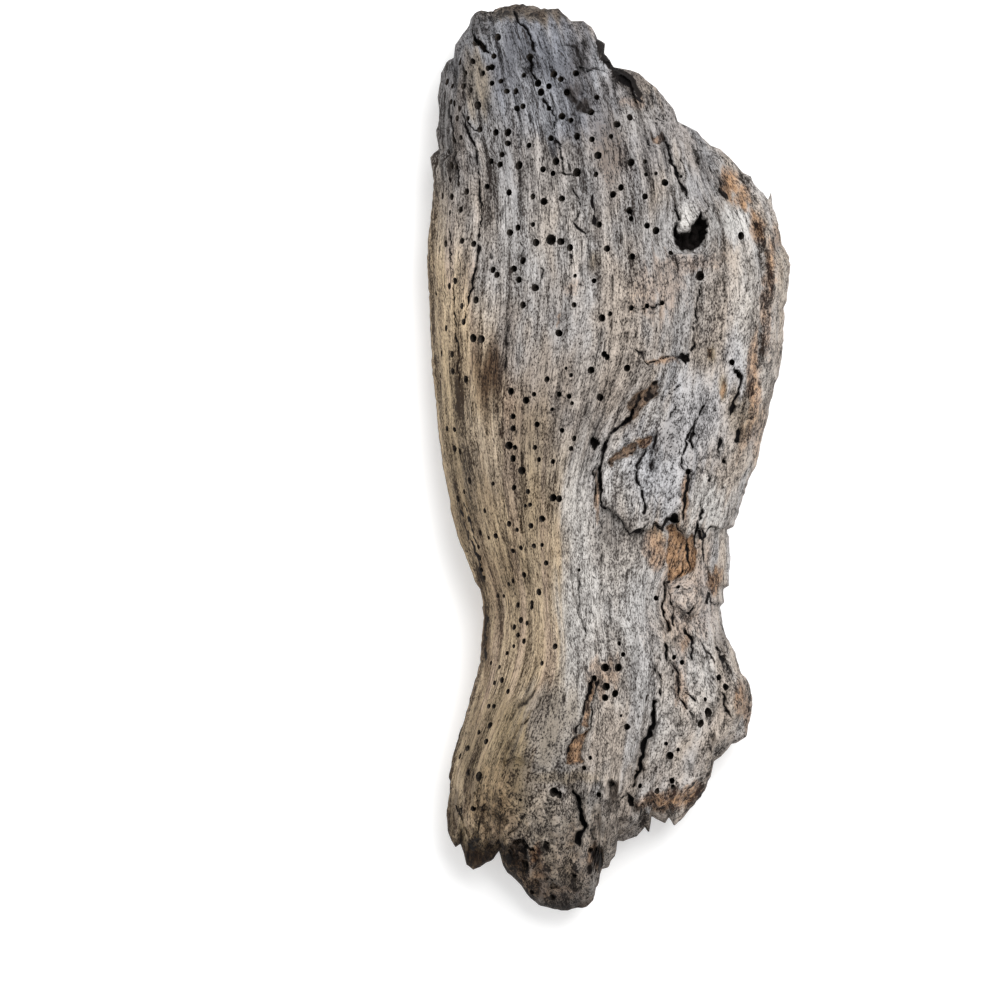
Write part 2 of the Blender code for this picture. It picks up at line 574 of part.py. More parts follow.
def surfaces(across, down, left, right, top, root):
    """Front and back levels in millimetres for points of the grid."""
    step = STEP * 1000.0
    from_left = (across - left) * step
    from_right = (right - across) * step
    from_top = (down - top) * step
    from_root = (root - down) * step
    flank = quarter(from_left, along(FLANK, down), along(FLANK_POWER, down))
    edge = flank * quarter(from_right, along(RIGHT_ROUND, down), 2.0)
    edge = edge * quarter(from_top, END_ROUND, 2.0)
    edge = edge * quarter(from_root, END_ROUND, 2.0)
    front = level_table(FRONT_LEVEL, across, down)
    front = front + front_relief(across, down)
    under = quarter(from_left, UNDER_ROUND, 2.0)
    under = under * quarter(from_right, UNDER_ROUND, 2.0)
    under = under * quarter(from_top, UNDER_END_ROUND, 2.0)
    under = under * quarter(from_root, UNDER_END_ROUND, 2.0)
    back = level_table(BACK_LEVEL, across, down)
    back = back - back_relief(across, down)
    level = along(EDGE_LEVEL, down)
    front_z = edge * np.maximum(front, 5.0) + (1.0 - edge) * level
    back_z = (1.0 - under) * level - under * np.maximum(back, 3.0)
    return front_z, np.maximum(back_z, -REST_DEPTH * 1000.0)


def layered(x, y, z, left, right, level):
    """Draw side walls and ends inward in uneven layers, millimetres.

    x = m + (x - m)(1 - a n(z, y) / half) and y = y (1 - b n(z, x) / 130),
    with no change at the edge line, the front and the flat spot.
    """
    gate = smooth_step((np.abs(z - level) - 1.2) / 4.5)
    gate = gate * (1.0 - smooth_step((z - 9.0) / 8.0))
    gate = gate * (1.0 - smooth_step((-z - 9.0) / 6.0))
    middle = (left + right) / 2.0
    half = (right - left) / 2.0
    inward = 0.5 + 0.5 * noise(z / 4.5 + 40.0, y / 34.0, 21)
    inward = inward + 0.3 * noise(z / 2.1, y / 11.0, 22)
    x = middle + (x - middle) * (1.0 - SIDE_LAYERS * gate * inward / half)
    inward = 0.5 + 0.5 * noise(z / 4.0 + 20.0, x / 6.0, 23)
    inward = inward + 0.3 * noise(z / 2.2, x / 2.7, 24)
    y = y * (1.0 - END_LAYERS * gate * np.maximum(inward, 0.0) / 130.0)
    return x, y


def grid_points():
    """Points of the front and back grids, in metres, shape rows x columns."""
    psi_line = spread(COLUMNS, 0.7)
    t_line = spread(ROWS, 0.55)
    top_line = end_profile(TOP_END, psi_line)
    root_line = end_profile(ROOT_END, psi_line)
    psi = np.tile(psi_line, (ROWS + 1, 1))
    top = np.tile(top_line, (ROWS + 1, 1))
    root = np.tile(root_line, (ROWS + 1, 1))
    down = top + t_line[:, None] * (root - top)
    left = along(LEFT_EDGE, down) - 0.8
    right = along(RIGHT_EDGE, down) + 1.0
    across = left + psi * (right - left)
    levels = surfaces(across, down, left, right, top, root)
    step = STEP * 1000.0
    x = (across - SHEET_MIDDLE[0]) * step
    y = (SHEET_MIDDLE[1] - down) * step
    left = (left - SHEET_MIDDLE[0]) * step
    right = (right - SHEET_MIDDLE[0]) * step
    level = along(EDGE_LEVEL, down)
    grids = []
    for z in levels:
        moved_x, moved_y = layered(x, y, z, left, right, level)
        grids.append(np.stack([moved_x, moved_y, z], axis=-1) * 0.001)
    return grids


def closed_shell(front, back):
    """Vertices and faces of the closed skin over two joined grids."""
    rows, columns = front.shape[:2]
    front_index = np.arange(rows * columns).reshape(rows, columns)
    back_index = front_index.copy()
    inner = (rows - 2) * (columns - 2)
    inner_index = rows * columns + np.arange(inner)
    back_index[1:-1, 1:-1] = inner_index.reshape(rows - 2, columns - 2)
    points = np.concatenate([
        front.reshape(-1, 3), back[1:-1, 1:-1].reshape(-1, 3)])
    front_faces = np.stack([
        front_index[:-1, :-1], front_index[1:, :-1],
        front_index[1:, 1:], front_index[:-1, 1:]], axis=-1)
    back_faces = np.stack([
        back_index[:-1, :-1], back_index[:-1, 1:],
        back_index[1:, 1:], back_index[1:, :-1]], axis=-1)
    faces = np.concatenate([
        front_faces.reshape(-1, 4), back_faces.reshape(-1, 4)])
    return points, faces


def bore_matrix(surface, mark, facing):
    """Place of a bore at a mark: long side up the sheet, bottom to the right.

    The axis is the broad surface's normal plus a small lean.
    """
    x = (mark[0] - SHEET_MIDDLE[0]) * STEP
    y = (SHEET_MIDDLE[1] - mark[1]) * STEP
    reach = 0.0022
    gap = np.hypot(surface[..., 0] - x, surface[..., 1] - y)
    chosen = surface[gap < 2.2 * reach]
    spot = surface[gap < reach]
    plane = np.column_stack([chosen[:, 0], chosen[:, 1], np.ones(len(chosen))])
    slope = np.linalg.lstsq(plane, chosen[:, 2], rcond=None)[0]
    level = np.median(spot[:, 2])
    normal = Vector((-slope[0], -slope[1], 1.0)) * facing
    normal.normalize()
    normal = normal + Vector((-0.2, 0.05, 0.0))
    normal.normalize()
    side = Vector((0.2, 1.0, 0.0)).cross(normal).normalized()
    turn = Matrix((side, normal.cross(side), normal)).transposed().to_4x4()
    return Matrix.Translation(Vector((x, y, level))) @ turn


def bore_cutter(number, matrix, radius, holder):
    """One oval, tapered bore cutter whose mouth stands clear of the wood."""
    mesh = bpy.data.meshes.new("bore_%d" % number)
    shape = bmesh.new()
    clear = 0.0016
    length = BORE_DEPTH + clear
    lift = Matrix.Translation(Vector((0.0, 0.0, clear - length / 2.0)))
    oval = Matrix.Diagonal(Vector((0.8, 1.02, 1.0, 1.0)))
    bmesh.ops.create_cone(
        shape, cap_ends=True, cap_tris=False, segments=BORE_SIDES,
        radius1=radius * 0.58, radius2=radius * 1.02, depth=length,
        matrix=matrix @ oval @ lift)
    shape.to_mesh(mesh)
    shape.free()
    item = bpy.data.objects.new("bore_%d" % number, mesh)
    item.display_type = "WIRE"
    holder.objects.link(item)
    return item


def wood_material():
    """Grey, sun-bleached, dry wood."""
    material = bpy.data.materials.new("weathered_wood")
    material.use_nodes = True
    shader = material.node_tree.nodes["Principled BSDF"]
    shader.inputs["Base Color"].default_value = (0.33, 0.29, 0.25, 1.0)
    shader.inputs["Roughness"].default_value = 0.9
    shader.inputs["Metallic"].default_value = 0.0
    material.diffuse_color = (0.33, 0.29, 0.25, 1.0)
    return material


def settled(item):
    """Mesh of an object with its modifiers applied."""
    graph = bpy.context.evaluated_depsgraph_get()
    graph.update()
    return bpy.data.meshes.new_from_object(item.evaluated_get(graph))


def flatten_rest(mesh):
    """Bring the points of the flat spot back onto its plane."""
    values = np.empty(len(mesh.vertices) * 3)
    mesh.vertices.foreach_get("co", values)
    points = values.reshape(-1, 3)
    low = points[:, 2] < -REST_DEPTH + 0.00012
    points[low, 2] = -REST_DEPTH
    mesh.vertices.foreach_set("co", points.ravel())
    mesh.update()


def build():
    """Build the piece of driftwood."""
    clear_scene()
    wood = bpy.data.collections.new("driftwood_piece")
    cutters = bpy.data.collections.new("cutters")
    cutters.hide_render = True
    bpy.context.scene.collection.children.link(wood)
    bpy.context.scene.collection.children.link(cutters)

    front, back = grid_points()
    low = np.minimum(front.min(axis=(0, 1)), back.min(axis=(0, 1)))
    high = np.maximum(front.max(axis=(0, 1)), back.max(axis=(0, 1)))
    shift = np.array([
        -(low[0] + high[0]) / 2.0, -(low[1] + high[1]) / 2.0, -low[2]])
    points, faces = closed_shell(front, back)
    mesh = bpy.data.meshes.new("driftwood")
    mesh.from_pydata(points.tolist(), [], faces.tolist())
    mesh.update()
    piece = bpy.data.objects.new("driftwood", mesh)
    wood.objects.link(piece)

    thin = piece.modifiers.new("thin", "DECIMATE")
    thin.decimate_type = "COLLAPSE"
    thin.use_collapse_triangulate = True
    thin.ratio = FACES_KEPT / (2.0 * len(faces))
    piece.data = settled(piece)
    piece.modifiers.clear()
    flatten_rest(piece.data)

    number = 0
    for mark in BORES:
        matrix = bore_matrix(front, mark, 1.0)
        bore_cutter(number, matrix, mark[2] * STEP, cutters)
        number += 1
    for mark in UNDER_BORES:
        matrix = bore_matrix(back, mark, -1.0)
        bore_cutter(number, matrix, mark[2] * STEP, cutters)
        number += 1
    cut = piece.modifiers.new("bores", "BOOLEAN")
    cut.operation = "DIFFERENCE"
    cut.operand_type = "COLLECTION"
    cut.collection = cutters
    cut.solver = "MANIFOLD"
    piece.data = settled(piece)
    piece.modifiers.clear()
    for item in list(cutters.objects):
        bpy.data.objects.remove(item, do_unlink=True)

    piece.data.transform(Matrix.Translation(Vector(shift.tolist())))
    piece.data.name = "driftwood"
    piece.data.materials.clear()
    piece.data.materials.append(wood_material())


build()
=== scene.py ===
"""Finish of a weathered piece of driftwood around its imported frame.

The wood is one closed skin.  Places on it are given as marks, (across, down),
on a sheet whose step is STEP metres, with the broad end at the top.  Fibre
positions run from 0 at the left edge to 1 at the right edge.
"""
import json

import bmesh
import bpy
import numpy as np
from mathutils import Matrix, Vector

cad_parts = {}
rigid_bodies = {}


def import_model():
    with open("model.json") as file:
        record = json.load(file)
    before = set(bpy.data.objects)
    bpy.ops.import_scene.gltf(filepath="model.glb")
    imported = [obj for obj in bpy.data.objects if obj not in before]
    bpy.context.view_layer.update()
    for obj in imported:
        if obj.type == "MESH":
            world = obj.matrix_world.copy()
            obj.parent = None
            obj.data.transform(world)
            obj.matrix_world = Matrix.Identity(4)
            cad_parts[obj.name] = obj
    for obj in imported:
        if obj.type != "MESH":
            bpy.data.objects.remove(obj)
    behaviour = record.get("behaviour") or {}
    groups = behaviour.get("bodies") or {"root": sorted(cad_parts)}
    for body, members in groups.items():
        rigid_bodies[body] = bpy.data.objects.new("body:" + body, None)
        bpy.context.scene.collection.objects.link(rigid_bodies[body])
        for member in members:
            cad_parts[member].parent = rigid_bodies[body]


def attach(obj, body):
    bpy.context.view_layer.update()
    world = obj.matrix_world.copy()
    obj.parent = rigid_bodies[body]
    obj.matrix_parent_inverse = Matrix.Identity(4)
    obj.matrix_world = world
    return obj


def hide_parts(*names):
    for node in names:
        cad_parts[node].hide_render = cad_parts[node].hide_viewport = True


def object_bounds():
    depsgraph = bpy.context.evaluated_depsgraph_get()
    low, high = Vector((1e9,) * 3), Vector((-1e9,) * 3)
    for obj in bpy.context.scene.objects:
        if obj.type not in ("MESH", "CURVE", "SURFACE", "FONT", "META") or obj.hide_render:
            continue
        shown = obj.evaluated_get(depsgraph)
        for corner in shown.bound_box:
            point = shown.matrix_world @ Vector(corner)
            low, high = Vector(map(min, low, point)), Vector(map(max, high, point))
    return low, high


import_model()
cad_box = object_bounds()

# Lengths in metres; names that end in MM are in millimetres.  The angle is
# in radians, and the grids have COLUMNS by ROWS squares.
MILLIMETRE = 0.001
STEP = 0.00029
STEP_MM = 0.29
SHEET_MIDDLE = (609.0, 457.0)
REST_DEPTH_MM = 16.0
UPPER_MM = 13.0
UPPER_RAMP_MM = 5.0
BOX_INSET = 0.00002
COLUMNS = 270
ROWS = 640
SKIN_TRIANGLES = 184000
SHARP_ANGLE = 0.9
BORE_SIDES = 12
BORE_DEPTH = 0.0060
BORE_CLEAR = 0.0023
BORE_REACH = 0.0018
ROOT_FROM = 770.0
FLOOR_HALF = 4.0
FLOOR_GLOW = 0.22
WORLD_LIGHT = 0.79
KEY_PLACE = (0.40, 0.60, 1.40)
KEY_SIZE = 0.9
KEY_POWER = 20.0
CAMERA_HEIGHT = 8.0
SENSOR = 36.0
SCALE_LEVEL = 0.018


def rows_of(text):
    """Rows of numbers: a comma ends a row, a space ends a number."""
    return [tuple(map(float, row.split())) for row in text.split(",")]


def forms_of(text):
    """Forms as (marks, measures): measures, a colon, marks, and a semicolon between."""
    forms = []
    for form in text.split(";"):
        measures, line = form.split(":")
        forms.append((rows_of(line), *map(float, measures.split())))
    return forms


# Edges of the outline: (down, across) marks.
LEFT_EDGE = rows_of("""
0 442, 71 442, 82 441, 97 438, 109 440, 120 440, 129 437, 138 438, 149 439, 153 434, 157 431,
180 434, 200 433, 218 431, 234 429, 251 428, 272 428, 295 430, 333 431, 371 433, 385 435, 431 439,
468 444, 493 449, 518 453, 541 460, 559 468, 581 476, 588 481, 604 484, 607 483, 617 485, 629 483,
661 481, 680 476, 696 471, 719 465, 739 458, 762 452, 777 449, 781 451, 799 449, 809 447, 830 448,
850 449, 920 450""")
RIGHT_EDGE = rows_of("""
0 604, 54 604, 60 609, 67 613, 70 630, 73 638, 79 645, 87 655, 100 666, 108 673, 121 677, 126 687,
131 697, 138 703, 145 710, 149 720, 157 729, 172 742, 176 751, 183 754, 195 765, 202 770, 212 775,
223 778, 244 782, 257 789, 269 790, 286 788, 299 787, 305 784, 320 784, 339 783, 359 781, 376 778,
383 775, 401 770, 415 768, 439 761, 452 759, 465 756, 477 749, 498 742, 516 737, 526 733, 529 726,
536 728, 559 730, 585 728, 588 723, 602 723, 606 719, 622 722, 636 726, 652 735, 676 742, 682 749,
697 752, 715 751, 725 748, 738 746, 920 746""")
# Broken ends: (across, down) marks from left to right.
TOP_END = rows_of("""
442 71, 447 61, 454 56, 456 43, 463 33, 469 24, 471 17, 475 12, 481 9, 493 11, 499 6, 509 5, 520 3,
530 4, 541 7, 558 8, 564 14, 571 20, 583 20, 591 26, 597 38, 604 42""")
ROOT_END = rows_of("""
448 830, 452 841, 456 848, 461 844, 465 854, 467 865, 474 870, 481 867, 488 862, 494 860, 500 852,
503 865, 508 873, 516 879, 522 886, 527 895, 539 905, 555 910, 571 910, 587 907, 594 901, 596 889,
599 885, 600 877, 602 870, 609 868, 611 861, 616 855, 618 840, 624 841, 637 837, 645 827, 649 834,
652 817, 656 820, 665 824, 669 817, 674 826, 680 822, 689 811, 700 797, 706 790, 707 782, 711 775,
713 762, 721 757, 731 745, 746 738""")

# Lines that the fibres follow: across marks of nine fibres, a row every 60
# steps down from 0, and the place of each fibre counted across the grain.
FIBRES = rows_of("""
440 450 483 517 560 600 634 660 684,
443 458 497 535 576 616 655 678 705,
437 464 509 552 592 632 673 697 728,
432 479 516 561 602 645 688 718 755,
428 479 519 564 608 652 699 738 779,
430 470 520 565 610 655 700 745 785,
433 468 514 558 603 650 694 735 779,
438 468 510 550 588 622 692 726 764,
448 476 512 545 572 600 686 716 746,
463 489 519 545 563 601 672 702 728,
485 504 526 546 566 602 660 690 721,
480 500 523 548 572 607 662 697 738,
462 482 500 526 572 610 654 703 750,
447 463 478 506 565 606 642 690 745,
444 458 472 504 560 600 634 680 730,
443 456 472 504 558 594 630 676 726""")
FIBRE_PLACES = [0, 40, 80, 120, 155, 195, 250, 290, 330]
# The outline without its small steps, for the levels below.
BROAD_LEFT = rows_of("""
0 448, 80 441, 160 434, 260 428, 370 433, 430 439, 500 452, 560 471, 600 484, 640 483, 700 470,
760 453, 830 447, 920 448""")
BROAD_RIGHT = rows_of("""
0 590, 45 608, 90 655, 130 694, 170 738, 220 776, 270 789, 330 784, 400 771, 460 757, 520 736,
560 729, 600 721, 640 728, 690 750, 720 751, 920 746""")

# Levels of the front above, and of the underside below, the edge level in
# millimetres: a row every 100 steps down from mark 5, columns left to right.
FRONT_LEVEL = rows_of("""
14 16 18 18 17 14 12,
18 20 21 22 20 16 12,
19 23 25 25 23 19 13,
20 24 26 27 25 20 13,
20 24 26 27 26 21 14,
19 24 26 28 26 22 16,
18 24 28 29 27 22 16,
18 24 28 29 25 21 14,
16 20 24 25 22 17 11,
10 12 13 16 14 11 8""")
BACK_LEVEL = rows_of("""
7 10 12 11 10 8 6,
9 13 15 14 13 11 7,
9 14 17 17 15 12 8,
9 15 19 20 17 12 8,
9 15 20 21 18 12 8,
9 15 20 21 18 13 8,
9 14 18 19 17 12 8,
8 13 16 17 15 11 7,
8 12 13 14 13 9 6,
5 7 9 10 9 6 5""")
# Width of the left flank in millimetres, and how sharply it meets the front
# (2 is a quarter ellipse), by down mark.
FLANK = rows_of("5 11, 150 13, 300 16, 420 19, 520 23, 620 27, 700 24, 800 14, 905 8")
FLANK_POWER = rows_of("5 2, 300 1.9, 480 1.4, 620 1.15, 720 1.3, 820 2")
RIGHT_ROUND = rows_of("5 7, 150 5, 250 5, 450 6, 600 9, 740 7")
END_ROUND = 8.0
UNDER_ROUND = 15.0
UNDER_END_ROUND = 19.0
EDGE_LEVEL = rows_of("5 3.5, 110 1, 230 -2, 330 -3, 450 -1, 560 2, 650 2.5, 760 0, 905 -3")
SIDE_LAYERS = 1.8
END_LAYERS = 6.5

# Grooves and cracks: marks along the line, half width in steps, depth in
# millimetres, and how strong the painted shade at the bottom is.
GROOVES = forms_of("""
1.3 3 1: 512 10, 518 21, 524 26, 529 38, 535 54;
1.3 2.4 1: 530 56, 530 62, 532 71, 536 82;
1.1 2 1: 541 97, 545 103, 549 110, 554 119, 556 128, 554 137;
0.9 1.6 1: 554 139, 559 149, 562 161, 563 173;
0.9 1 0.9: 554 174, 575 174;
1.5 3.5 1: 473 21, 472 32, 475 42, 481 46, 485 54, 488 55;
1.3 3 1: 474 40, 480 44;
1.6 1.2 0.5: 560 45, 575 46, 585 75;
0.8 0.8 0.6: 604 65, 590 73, 585 75;
2.9 4.5 1: 604 57, 611 66, 618 74, 626 83, 633 94, 641 103;
1.2 1.8 1: 448 100, 453 130, 457 165, 458 190;
1 1.8 0.9: 462 112, 469 135, 476 152, 480 190, 482 205, 479 245;
1.4 2.2 1: 479 245, 476 270, 468 302, 464 322;
1 1.2 0.8: 466 120, 480 134;
0.9 1.2 0.7: 448 210, 452 260, 456 330, 462 400;
1.2 1.6 1: 456 495, 460 509, 472 541, 480 558, 484 580;
0.8 1 0.9: 463 500, 471 524, 478 546;
1.4 1.4 0.7: 488 610, 486 640, 485 664;
0.8 1 0.5: 490 190, 492 250, 489 320;
1 1.2 0.9: 520 212, 522 224;
0.9 1 0.8: 519 238, 522 250, 521 262;
0.9 1.2 0.9: 541 266, 542 278;
0.9 1.4 1: 573 186, 577 197, 579 208, 575 224, 586 238;
1.6 1.4 0.8: 592 196, 594 212, 595 227;
0.9 1 0.8: 572 252, 573 264;
1.4 1.4 0.6: 508 320, 506 350, 505 378;
1.4 2 1: 630 209, 631 224;
1.5 2.2 1: 664 133, 669 150, 672 164, 677 179, 686 191, 687 200;
0.9 1.2 0.6: 677 138, 681 156, 684 171, 686 186;
1 1.4 0.6: 693 138, 698 151, 700 171;
0.9 1.2 0.8: 703 195, 707 207, 705 216;
0.9 1 0.7: 713 203, 713 217;
1.4 3 1: 675 205, 674 210, 679 217, 675 226, 676 238;
0.9 1.4 1: 630 305, 640 309, 647 307, 655 308, 663 301;
1.2 2.2 1: 703 281, 699 298, 695 317, 693 335, 692 353;
0.7 0.8 0.4: 540 346, 560 348, 585 345;
1 1.8 1: 647 364, 656 361, 665 357, 678 356, 691 353;
0.9 1.4 0.9: 634 348, 646 361, 654 371, 655 380;
1.1 1.6 1: 667 393, 673 390, 680 384;
0.9 1.4 0.7: 677 404, 670 414, 664 424;
1.1 2 1: 658 432, 653 446, 652 457, 650 471;
1.3 2.4 1: 646 449, 637 463, 637 478, 643 492, 644 516;
1.7 4 1: 640 400, 625 420, 610 434, 603 448, 600 465, 602 506;
1 1.8 0.9: 595 464, 594 480, 596 506;
1.2 1.2 0.5: 596 504, 600 530, 601 560, 600 604;
1.4 2.8 1: 706 404, 697 415, 692 430, 692 450;
1.2 2.6 1: 693 424, 687 438, 686 447, 681 456, 681 467, 688 471;
1.2 1.8 0.8: 688 470, 688 480, 684 500, 682 519;
1.8 2.8 1: 735 366, 741 379, 738 393, 733 406, 731 415;
2 2.6 0.9: 738 428, 739 437, 737 443;
2.2 2.8 0.8: 720 438, 719 452, 723 464;
1 1.6 0.8: 708 470, 710 482;
1.3 2 1: 700 500, 701 521, 704 537;
0.9 1.4 1: 688 536, 688 550, 689 571;
0.8 1.2 0.9: 696 530, 696 548;
0.7 1 0.8: 703 537, 703 561;
1.2 1.6 1: 664 582, 671 583;
0.9 1.6 1: 683 560, 682 571, 676 579;
1.4 3 1: 664 582, 664 596, 663 606, 665 616, 671 629;
0.9 1.6 0.9: 667 585, 671 599, 674 621, 676 625;
2 2.8 1: 664 640, 667 649, 666 653, 669 661;
1 2 1: 655 668, 661 673, 661 697;
2.6 6 1: 661 697, 655 700, 654 722, 651 733, 643 742, 641 762, 634 784;
2 2.4 1: 709 592, 708 603;
1.6 1.8 0.8: 679 605, 684 612, 691 611, 696 605;
1 1.2 0.4: 673 590, 677 607, 686 618, 700 614, 706 600;
2 2.4 0.9: 684 627, 689 634, 692 645, 692 660;
1.2 2.2 0.9: 672 662, 678 673, 678 693, 688 709, 694 717;
1 1.6 0.9: 684 691, 697 700;
2 2.6 1: 716 645, 720 652, 725 663, 728 671;
1 1.6 0.6: 700 640, 708 652, 714 664;
1.2 1.8 0.7: 722 690, 725 705, 732 716;
1.6 2.4 1: 594 676, 589 690, 583 704, 579 722;
1.1 2 0.9: 598 678, 592 700, 590 728;
1.2 2.2 0.9: 579 722, 574 734, 566 752;
0.9 1.8 0.7: 588 730, 583 748, 581 762;
3.2 6.5 1: 573 785, 579 799, 581 813, 585 824, 579 836, 581 845;
3.2 1.3 0.12: 500 763, 513 758, 532 766, 548 770;
2 1.4 0.5: 551 672, 535 690, 520 706, 508 722;
1.4 1.2 0.5: 548 690, 530 712, 512 738, 504 756;
1.2 1.8 0.8: 526 810, 518 824, 509 834;
0.9 1.4 0.6: 577 572, 579 614, 588 641;
1.4 1.6 0.6: 455 800, 462 820, 470 838;
1.4 1.6 0.6: 475 790, 480 815, 478 836""")
# Broken-out hollows: outline marks, depth in millimetres, how brown the floor
# is, and how strong the painted shade in it is.
HOLLOWS = forms_of("""
9 0 1: 675 224, 680 236, 688 232, 695 224, 700 213, 707 221, 707 236, 700 246, 690 252, 681 250,
676 240;
2.8 0.7 0.5: 626 402, 639 392, 647 388, 650 381, 657 382, 658 388, 657 396, 650 402, 643 407,
636 416, 627 423, 619 426, 629 412;
2.8 0.8 0.48: 608 464, 612 455, 619 450, 626 444, 636 442, 636 447, 629 456, 618 459, 613 462,
611 469;
2 0.9 0.15: 639 440, 653 435, 651 444, 643 448, 638 445;
4 0 0.9: 591 438, 599 439, 600 444, 596 447, 592 451, 590 443;
3 0 0.9: 680 356, 689 353, 690 359, 685 363;
1.6 1 0: 667 527, 671 522, 677 530, 688 538, 695 532, 696 548, 693 570, 686 574, 676 581, 667 582,
667 562, 668 546;
2.4 1 0: 575 732, 588 729, 583 746, 581 761, 565 763, 567 750;
1.8 0.8 0: 591 680, 597 680, 590 704, 587 726, 580 724, 584 702;
2.6 0.2 0.5: 607 778, 613 775, 619 790, 614 804, 608 792;
2.6 0 0.9: 628 792, 633 795, 633 804, 628 803;
4.5 0.6 0.6: 589 846, 603 846, 606 857, 600 870, 593 864;
3.2 0.2 0.45: 504 852, 511 842, 518 836, 524 838, 530 846, 526 856, 528 868, 520 876, 512 872,
506 864;
1.6 0 0.15: 700 702, 707 701, 713 708, 713 718, 706 720, 700 714;
1.6 0.7 0.3: 735 690, 742 689, 744 700, 737 699;
2.4 0.6 0.5: 665 618, 671 620, 672 629, 668 632;
1.6 0.55 0.3: 650 132, 654 138, 663 131, 667 140, 660 146, 652 142;
0.9 0 0.5: 561 80, 567 90, 573 97, 583 103, 591 110, 593 116, 581 113, 572 104, 563 94, 557 84;
4 0.4 0.8: 603 52, 608 58, 613 66, 620 68, 629 75, 635 82, 640 91, 644 99, 640 100, 631 90, 622 82,
614 75, 607 67, 602 59;
1.2 0 0.9: 596 39, 604 41, 605 51, 600 53;
3 0 1: 671 514, 677 515, 678 520, 672 521, 668 518;
2.4 0.2 0.9: 718 178, 723 190, 730 198, 726 199, 719 191;
1.2 0.5 0.35: 707 348, 713 349, 713 357, 708 357;
1.2 0.6 0.2: 724 379, 727 385, 721 398, 718 394;
0.8 0.5 0.2: 558 316, 562 312, 560 325, 555 330""")
# Shallow pits: centre, half sizes in steps, depth in millimetres, painted shade.
PITS = rows_of("""
552 895 6 4 2.4 0.9, 571 875 5 4 2 0.7, 587 899 4 4 2 0.8, 546 845 3 6 2 0.8, 526 866 5 7 2.4 0.8,
516 872 4 8 2 0.8, 508 862 3 8 2 0.7, 534 882 8 4 1.6 0.6, 560 866 5 3 1.4 0.5, 578 886 5 4 1.5 0.6,
564 905 10 3 1.4 0.6, 524 892 5 4 1.4 0.6, 542 902 7 3 1.4 0.6, 476 866 4 6 1.6 0.6,
467 858 2.5 9 1.6 0.7, 486 856 3 8 1.6 0.6, 459 845 3 6 1.4 0.7, 590 868 4 6 1.6 0.6,
548 878 4 3 1.2 0.5, 562 890 4 3 1.2 0.4, 636 806 6 5 1.6 0.5, 622 818 6 4 1.4 0.4,
664 808 4 5 1.4 0.5, 686 806 4 4 1.4 0.5, 607 806 4 8 1.4 0.4, 599 822 3 8 1.4 0.5,
740 716 4 8 1.4 0.5, 714 738 5 4 1.4 0.4, 700 748 5 5 1.2 0.3, 690 766 4 6 1.2 0.4,
480 790 3 6 1 0.4, 495 812 3 8 1 0.4, 485 20 5 3 1.2 0.5, 505 12 6 3 1.2 0.5, 548 12 8 3 1.2 0.5,
565 22 6 4 1.2 0.4, 486 33 4 4 1.2 0.5, 496 30 3 3 1 0.5""")
PLATE = rows_of("""
655 380, 650 402, 636 417, 620 427, 609 436, 604 449, 602 471, 603 505, 609 506, 616 513, 622 518,
624 527, 630 532, 639 529, 650 529, 653 521, 657 521, 662 529, 665 521, 668 516, 675 517, 677 523,
684 532, 689 536, 696 531, 698 520, 702 536, 711 526, 722 528, 760 532, 790 470, 790 380""")
PLATE_RISE = 3.6
# Ledges lower than the front: outline marks and drop in millimetres.
LEDGES = forms_of("""
5: 604 30, 608 52, 616 66, 622 78, 633 93, 641 104, 652 118, 668 124, 700 120, 720 60, 640 20;
5: 503 850, 511 841, 518 835, 525 838, 531 846, 537 852, 542 862, 545 871, 548 880, 556 888,
568 897, 580 907, 575 930, 480 930, 490 858;
5: 440 838, 455 846, 464 838, 474 846, 482 842, 490 852, 499 848, 500 930, 440 930;
2.2: 596 776, 604 789, 607 778, 613 776, 621 796, 630 792, 634 800, 650 815, 660 850, 600 900,
598 860, 590 830, 586 800;
3.4: 640 802, 652 796, 660 806, 672 796, 684 792, 694 780, 706 776, 714 760, 730 790, 680 850,
640 850;
2.4: 706 566, 712 580, 726 570, 745 566, 745 604, 712 604;
2: 706 155, 715 176, 724 195, 734 202, 747 208, 752 222, 756 232, 764 238, 766 256, 765 280,
762 302, 758 332, 752 370, 748 402, 800 402, 800 150""")
# Low knobs: centre, half sizes in steps, rise in millimetres.
KNOBS = rows_of("""
687 597 20 17 3, 684 218 11 15 1.6, 688 258 22 6 1.8, 703 640 14 22 1.8, 736 705 13 24 2.2,
690 715 18 26 1.8, 775 285 6 14 1.6, 776 320 6 12 1.4, 770 352 6 13 1.5, 758 405 9 14 1.6,
745 455 9 18 1.8, 765 228 6 12 1.5, 534 736 30 30 1.2, 490 800 22 26 1.2, 620 745 20 24 1,
562 868 18 22 1.6, 470 50 12 18 1.5, 496 100 14 24 1.2""")
# Knots that the fibres bend round: centre and reach in steps.
KNOTS = rows_of("688 232 26, 687 597 26")

